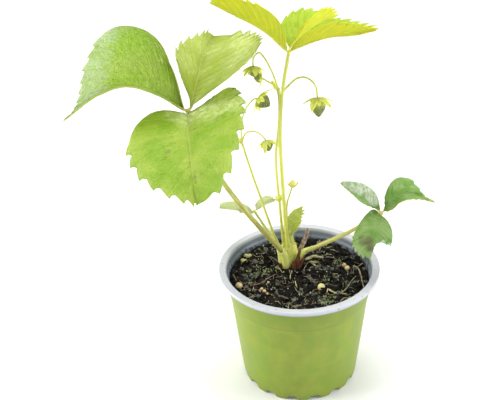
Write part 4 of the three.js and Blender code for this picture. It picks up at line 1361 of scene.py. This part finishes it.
# Each truss has a stem, pedicels that branch from it, fruits on their ends, and bracts. A fruit's
# droop is how far its sepals bend along it. One with a sepalScale is a bud and has no seeds.
trusses = {
    "fruit_truss_upper": {
        "stem": {
            "radii": (0.95, 0.75),
            "points": [(-6.2, 18.2, 58), (-7.4, 17, 70), (-9.3, 15.6, 98), (-11, 16, 130), (-9.3, 16, 147),
                       (-8.6, 16, 160), (-9.1, 16, 171)],
        },
        "pedicels": [
            {"radii": (0.6, 0.45), "points": [(-9.1, 16, 170), (-12.1, 15, 179.6), (-16.5, 13, 189.2),
                                              (-18.6, 12, 191.4), (-21.3, 10.6, 189.6),
                                              (-21.8, 10, 184.5)]},
            {"radii": (0.6, 0.5), "points": [(-8.9, 16.2, 168), (-10.4, 17, 170.7), (-14.2, 18, 173.2),
                                             (-17.6, 18, 175.4)]},
            {"radii": (0.65, 0.5), "points": [(-8.8, 16, 165), (-3.9, 16, 171.1), (1, 12.5, 176.7),
                                              (5.7, 8.6, 178.1), (9.4, 6.2, 174.9), (10.7, 6, 167.5)]},
        ],
        "fruits": [
            {"calyx": (-21.8, 10, 184.5), "axis": (0, -0.1, -1), "radius": 3.1, "length": 5, "droop": 0.6},
            {"calyx": (-17.6, 18, 175.4), "axis": (-1, 0, 0.1), "radius": 2.6, "length": 4, "droop": 0.25},
            {"calyx": (10.7, 6, 167.5), "axis": (0.05, -0.1, -1), "radius": 4, "length": 9.8,
             "droop": 0.45},
        ],
        "bracts": [
            {"at": (-9.1, 16, 169), "tip": (-12.5, 14.8, 175), "width": 2.2},
            {"at": (-12, 14.8, 104.6), "tip": (-6.4, 14, 106.4), "width": 3.4},
        ],
    },
    "fruit_truss_lower": {
        "stem": {
            "radii": (0.95, 0.7),
            "points": [(-8.8, 16.4, 58), (-10.4, 14.8, 71), (-16, 15.5, 91), (-20.5, 18, 106),
                       (-24, 20, 117.5), (-29.4, 24, 136.4)],
        },
        "pedicels": [
            {"radii": (0.55, 0.45), "points": [(-29.2, 24, 135.6), (-26.8, 24, 141.3), (-22.2, 24, 142.1),
                                               (-18.6, 24, 140.1), (-15.8, 24, 136.2)]},
            {"radii": (0.5, 0.45), "points": [(-29.2, 24, 135.8), (-29, 22, 148), (-26.2, 20, 157.6),
                                              (-22, 16.5, 164.2), (-19.4, 14.8, 165.4)]},
        ],
        "fruits": [
            {"calyx": (-15.8, 24, 136.2), "axis": (0.25, -0.3, -1), "radius": 3.3, "length": 6,
             "droop": 0.7},
            {"calyx": (-19.4, 14.8, 165.4), "axis": (0.8, -0.35, -0.5), "radius": 3.9, "length": 7.2,
             "droop": 0.55},
        ],
        "bracts": [{"at": (-29.4, 24, 135.5), "tip": (-33.2, 23, 140), "width": 2.4}],
    },
    "bud_stalk": {
        "stem": {
            "radii": (0.85, 0.55),
            "points": [(-4, 20, 58), (-4.6, 18.6, 72), (-5.5, 18, 88), (-5.2, 17.6, 100), (-3.4, 17.2, 107),
                       (-2.2, 17, 111)],
        },
        "pedicels": [],
        "fruits": [
            {"calyx": (-2.2, 17, 111), "axis": (0.1, 0, 1), "radius": 2.3, "length": 4, "droop": 0.9,
             "sepalScale": 0.75},
        ],
        "bracts": [],
    },
}

# What the fruits share. The tips and the width of the sepals are for a fruit of radius 1, and the
# number of seeds is for one of fullRadius.
fruit = {
    "seeds": 90,
    "seed": 0.3,
    "seedShape": (0.6, 0.75, 1.25),
    "seedFrom": 0.16,
    "seedSpan": 0.8,
    "seedTurn": 2.39996,
    "fullRadius": 4,
    "sepals": 5,
    "longTip": 2.05,
    "shortTip": 1.5,
    "sepalWidth": 0.74,
    "shortWidth": 0.62,
    "wall": 0.25,
}


def fruitFinish():
    finish = Finish("fruitGreen")
    v = finish.growth()[1]
    blotch = finish.cloud(2.5, 3).between(0.35, 0.65)
    color = finish.blend(blotch, (0.06, 0.09, 0.012), (0.15, 0.2, 0.035))
    color = finish.blend(v.between(0.5, 0.12) * 0.9, color, (0.5, 0.56, 0.11))
    color = finish.blend(v.between(0.72, 0.9) * 0.7, color, (0.03, 0.045, 0.008))
    grain = finish.cloud(0.5, 2)
    return finish.surface(color, 0.4, finish.bump(grain, 0.15), Specular_IOR_Level=0.45)


def sepalFinish(name, green, light):
    finish = Finish(name)
    u, v = finish.growth()
    rib = 1 - abs(v - 0.5).between(0.02, 0.1)
    color = finish.blend(finish.cloud(1.8, 3).between(0.35, 0.65), green, light)
    color = finish.blend(rib * 0.4, color, (0.66, 0.7, 0.26))
    color = finish.blend(u.between(0.5, 0.05) * 0.85, color, (0.95, 0.93, 0.5))
    normal = finish.bump(finish.cloud(0.5, 3) + rib, 0.15)
    return finish.surface(color, 0.5, normal, (0.96, 0.97, 0.4), 0.55)


# One pointed sepal in the fruit's own frame: out from the stalk, then bending along the fruit.
def growSepal(bm, turn, reach, width, droop, twist):
    aside = Vector((-math.sin(turn), math.cos(turn), 0))
    outwards = Vector((math.cos(turn), math.sin(turn), 0))
    start = 0.35

    def place(u, v):
        half = width * (0.3 + 1.3 * u) * (1 - u) ** 0.72 if u < 1 - tiny else 0
        side = (2 * v - 1) * half
        lift = droop * reach * u ** 1.5 - abs(2 * v - 1) * half * 0.3
        out = start + (reach - start) * u ** 0.92
        return outwards * out + aside * (side + twist * u * u) + Vector((0, 0, lift))

    wrapGrid(bm, 10, 6, place)


def growFruit(sepals, bodies, spec, seedMesh):
    turn = Vector(spec["axis"]).to_track_quat("Z", "Y").to_matrix().to_4x4()
    settle = Matrix.Translation(Vector(spec["calyx"])) @ turn
    radius, length = spec["radius"], spec["length"]
    fullness = radius / fruit["fullRadius"]

    def radiusAt(h):
        return radius * max(math.sin(math.pi * h ** 0.62), 0) ** 0.72 if 0 < h < 1 else 0

    def place(u, v):
        angle = u * 2 * math.pi
        return settle @ Vector((radiusAt(v) * math.cos(angle), radiusAt(v) * math.sin(angle), length * v))

    wrapGrid(bodies, 28, 24, place, closed=True)
    count = 0 if "sepalScale" in spec else round(fruit["seeds"] * radius / fruit["fullRadius"])
    size = fruit["seed"] * lerp(0.75, 1, fullness)
    shape = Matrix.Diagonal((*(size * part for part in fruit["seedShape"]), 1))
    for seed in range(count):
        h = fruit["seedFrom"] + fruit["seedSpan"] * (seed + 0.5) / count
        angle = seed * fruit["seedTurn"]
        out = Vector((math.cos(angle), math.sin(angle), 0))
        spot = settle @ Matrix.Translation(out * radiusAt(h) * 0.97 + Vector((0, 0, length * h)))
        lean = (out + Vector((0, 0, 0.35))).to_track_quat("X", "Z").to_matrix().to_4x4()
        scatter(bodies, seedMesh, [spot @ lean @ shape])

    scale = spec.get("sepalScale", 1)
    start = len(sepals.verts)
    for ring, tip in ((0, fruit["longTip"]), (1, fruit["shortTip"])):
        for sepal in range(fruit["sepals"]):
            turnAt = (sepal + 0.5 * ring) * 2 * math.pi / fruit["sepals"] + chance.uniform(-0.12, 0.12)
            reach = radius * tip * scale * chance.uniform(0.88, 1.1)
            width = radius * fruit["sepalWidth"] * scale * (fruit["shortWidth"] if ring else 1)
            droop = spec["droop"] * chance.uniform(0.8, 1.2)
            growSepal(sepals, turnAt, reach, width, droop, chance.uniform(-0.8, 0.8))
    sepals.verts.ensure_lookup_table()
    bmesh.ops.transform(sepals, matrix=settle, verts=sepals.verts[start:])


# A thin hollow blade from its foot to its tip, for bracts, scales and dry leaves.
def growBract(bm, spec):
    foot, tip = Vector(spec["at"]), Vector(spec["tip"])
    along = tip - foot
    aside = along.cross(Vector((0, -1, 0.3))).normalized()
    hollow = along.cross(aside).normalized()

    def place(u, v):
        half = spec["width"] / 2 * math.sin(math.pi * (0.18 + 0.82 * u)) ** 0.8 if u < 1 - tiny else 0
        side = (2 * v - 1) * half
        deep = abs(2 * v - 1) ** 2 * half * 0.5 - 0.5 * math.sin(math.pi * u)
        return foot + along * u + aside * side + hollow * deep

    wrapGrid(bm, 10, 8, place)


def growTruss(node):
    spec = trusses[node]
    stems = bmesh.new()
    places = []
    for stem in (spec["stem"], *spec["pedicels"]):
        path = Path(stem["points"])
        first, last = stem["radii"]
        main = stem is spec["stem"]
        sides, hairsPerLength, low = (12, 6, 0.1) if main else (10, 9, 0)

        def radiusAt(share):
            swell = 0.3 * smooth(0.94, 1, share) + (0 if main else 0.35 * (1 - smooth(0, 0.06, share)))
            return lerp(first, last, share) * (0.86 + swell)

        growStem(stems, path, radiusAt, sides, 1.1, ribs=5, ribDepth=0.03)
        places += hairsOn(path, radiusAt, round(path.length * hairsPerLength), hairs["onStalk"], low)
    scatter(stems, hair, places)
    finishPiece(stems, label(node) + "Stems", node, [stalkGreen, plantHair])

    bodies = bmesh.new()
    sepals = bmesh.new()
    seedMesh = smallMesh("seed", lambda bm: bmesh.ops.create_icosphere(bm, subdivisions=1, radius=1))
    for polygon in seedMesh.polygons:
        polygon.material_index = 1
    for one in spec["fruits"]:
        growFruit(sepals, bodies, one, seedMesh)
    bodyFinishes = [budPetal] if node == "bud_stalk" else [fruitGreen, fruitSeed]
    finishPiece(bodies, label(node) + "Fruits", node, bodyFinishes)
    for bract in spec["bracts"]:
        growBract(sepals, bract)
    finishPiece(sepals, label(node) + "Sepals", node, [sepalLight] * 2, wall=fruit["wall"])
    print(node, "made")


# The crown: the short stock, the sheath round each stem's foot, papery scales and an old stalk.

crown = {
    "x": -3.9, "y": 17, "radius": 5.0, "foot": 50.6, "shoulder": 59.6, "top": 64,
    "sheath": {"start": 3, "length": 22, "base": 0.9, "tip": 0.2, "turn": 158, "wall": 0.3},
    "crownScales": [
        {"at": (-1.2, 12, 59), "tip": (1.6, 10.6, 74.5), "width": 2.5},
        {"at": (0.4, 12.4, 59), "tip": (3.4, 11.4, 68), "width": 1.8},
        {"at": (-2.8, 11.7, 59), "tip": (-2.2, 10.6, 66), "width": 2.2},
        {"at": (-8, 12.5, 59), "tip": (-10.8, 11.6, 64), "width": 2.4},
    ],
    "dryLeaves": [
        {"at": (4.6, 17.5, 62), "tip": (11, 19, 64), "width": 1.5},
        {"at": (9, 20.5, 62.5), "tip": (15.5, 17.5, 63), "width": 1.2},
        {"at": (7, 16, 61.5), "tip": (12.5, 13.6, 62.5), "width": 0.9},
    ],
    "oldStalk": {
        "radii": (1.45, 1.0),
        "points": [(-0.6, 17.6, 58), (1.6, 17.6, 68), (5, 18, 76.5), (6.6, 18.4, 83)],
    },
}


def crownFinish():
    finish = Finish("crownGreen")
    streak = finish.streaks(1.2, 3, 180).between(0.35, 0.68)
    color = finish.blend(streak, (0.93, 0.97, 0.2), (0.97, 0.99, 0.36))
    color = finish.blend(finish.rising(64.5, 60.5) * 0.6, color, (0.42, 0.3, 0.12))
    color = finish.blend(finish.cloud(3, 3).between(0.62, 0.7) * 0.4, color, (0.4, 0.26, 0.1))
    grain = streak + finish.cloud(0.5, 2) * 0.5
    return finish.surface(color, 0.5, finish.bump(grain, 0.15), (0.97, 0.98, 0.42), 0.15)


def scaleFinish():
    finish = Finish("paperyScale")
    streak = finish.streaks(0.9, 4, 200).between(0.35, 0.68)
    color = finish.blend(streak, (0.1, 0.03, 0.015), (0.36, 0.15, 0.07))
    return finish.surface(color, 0.5, finish.bump(streak, 0.4), (0.5, 0.2, 0.08), 0.2)


def growSheath(bm, stem):
    sheath = crown["sheath"]
    path = Path(stem["points"])
    first = stem["radii"][0]
    middle = Vector((crown["x"], crown["y"], 0))
    lean = path.at(0.25) - middle
    lean.z = 0

    def place(u, v):
        aside = 2 * u - 1
        long = sheath["length"] * (0.72 + 0.28 * abs(aside) ** 3)
        share = (sheath["start"] + v * (long - sheath["start"])) / path.length
        along = path.heading(share)
        out = (lean - along * lean.dot(along)).normalized()
        angle = aside * math.radians(sheath["turn"])
        side = out * math.cos(angle) + along.cross(out) * math.sin(angle)
        wing = 0.5 * abs(aside) ** 2 * math.sin(math.pi * min(v * 1.2, 1)) ** 0.8
        gap = lerp(sheath["base"], sheath["tip"], v ** 0.7)
        ripple = 0.15 * noise.noise(Vector((u * 5, v * 4, first * 9)))
        return path.at(share) + side * (first + gap + wing + ripple)

    wrapGrid(bm, 40, 22, place)


def makeCrown():
    bm = bmesh.new()
    radius, foot, shoulder, top = (crown[key] for key in ("radius", "foot", "shoulder", "top"))

    def place(u, v):
        angle = u * 2 * math.pi
        bulge = math.sin(math.pi * v) ** 0.45 if 0 < v < 1 else 0
        z = lerp(foot, top, v)
        lump = 1 + 0.14 * noise.noise(Vector((math.cos(angle) * 1.4, math.sin(angle) * 1.4, v * 2)))
        width = radius * bulge * lump * (1 - 0.35 * smooth(shoulder, top, z))
        return Vector((crown["x"] + width * math.cos(angle), crown["y"] + width * math.sin(angle), z))

    wrapGrid(bm, 40, 20, place, closed=True)
    finishPiece(bm, "crownStock", "crown", [crownGreen])

    bm = bmesh.new()
    for stem in (*leaves.values(), *(truss["stem"] for truss in trusses.values())):
        growSheath(bm, stem)
    finishPiece(bm, "crownSheaths", "crown", [crownGreen] * 2, wall=crown["sheath"]["wall"])

    dry = strandFinish("dryLeaf", (0.3, 0.28, 0.12), (0.6, 0.55, 0.32))
    for name, finish, wall in (("crownScales", scaleFinish(), 0.3), ("dryLeaves", dry, 0.25)):
        bm = bmesh.new()
        for spec in crown[name]:
            growBract(bm, spec)
        finishPiece(bm, name, "crown", [finish] * 2, wall=wall)

    bm = bmesh.new()
    stalk = crown["oldStalk"]

    def radiusAt(share):
        knots = 0.35 * noise.noise(Vector((share * 7, 2.2, 0)))
        return lerp(*stalk["radii"], share) * (1 + knots)

    growStem(bm, Path(stalk["points"]), radiusAt, 14, 0.8, ribs=4, ribDepth=0.08)
    bark = barkFinish("oldStalk", (0.26, 0.17, 0.13), (0.58, 0.45, 0.38))
    finishPiece(bm, "oldStalk", "crown", [bark])
    print("crown made")


# Finishes that several pieces share.
plantHair = patchFinish("plantHair", ((0.62, 0.66, 0.4), (0.85, 0.87, 0.7)), 3, 1, roughness=0.5,
                        glow=(0.85, 0.88, 0.6))
stalkGreen = stemFinish("stalkGreen", (0.72, 0.74, 0.15), (0.62, 0.66, 0.14), (0.56, 0.56, 0.1), 0.4)
sepalLight = sepalFinish("sepalLight", (0.6, 0.66, 0.1), (0.84, 0.86, 0.28))
fruitGreen = fruitFinish()
fruitSeed = patchFinish("fruitSeed", ((0.3, 0.28, 0.05), (0.62, 0.58, 0.16)), 1.2, 2, roughness=0.4)
budPetal = patchFinish("budPetal", ((0.74, 0.7, 0.16), (0.85, 0.82, 0.4)), 1.5, 3, (0.3, 0.7),
                       roughness=0.55, glow=(0.9, 0.88, 0.3), glowShare=0.3)
crownGreen = crownFinish()

setCamera()
setStudio()
hair = hairMesh()
makePot()
makeSoil()
makeCrown()
for node in leaves:
    growLeaf(node)
for node in trusses:
    growTruss(node)
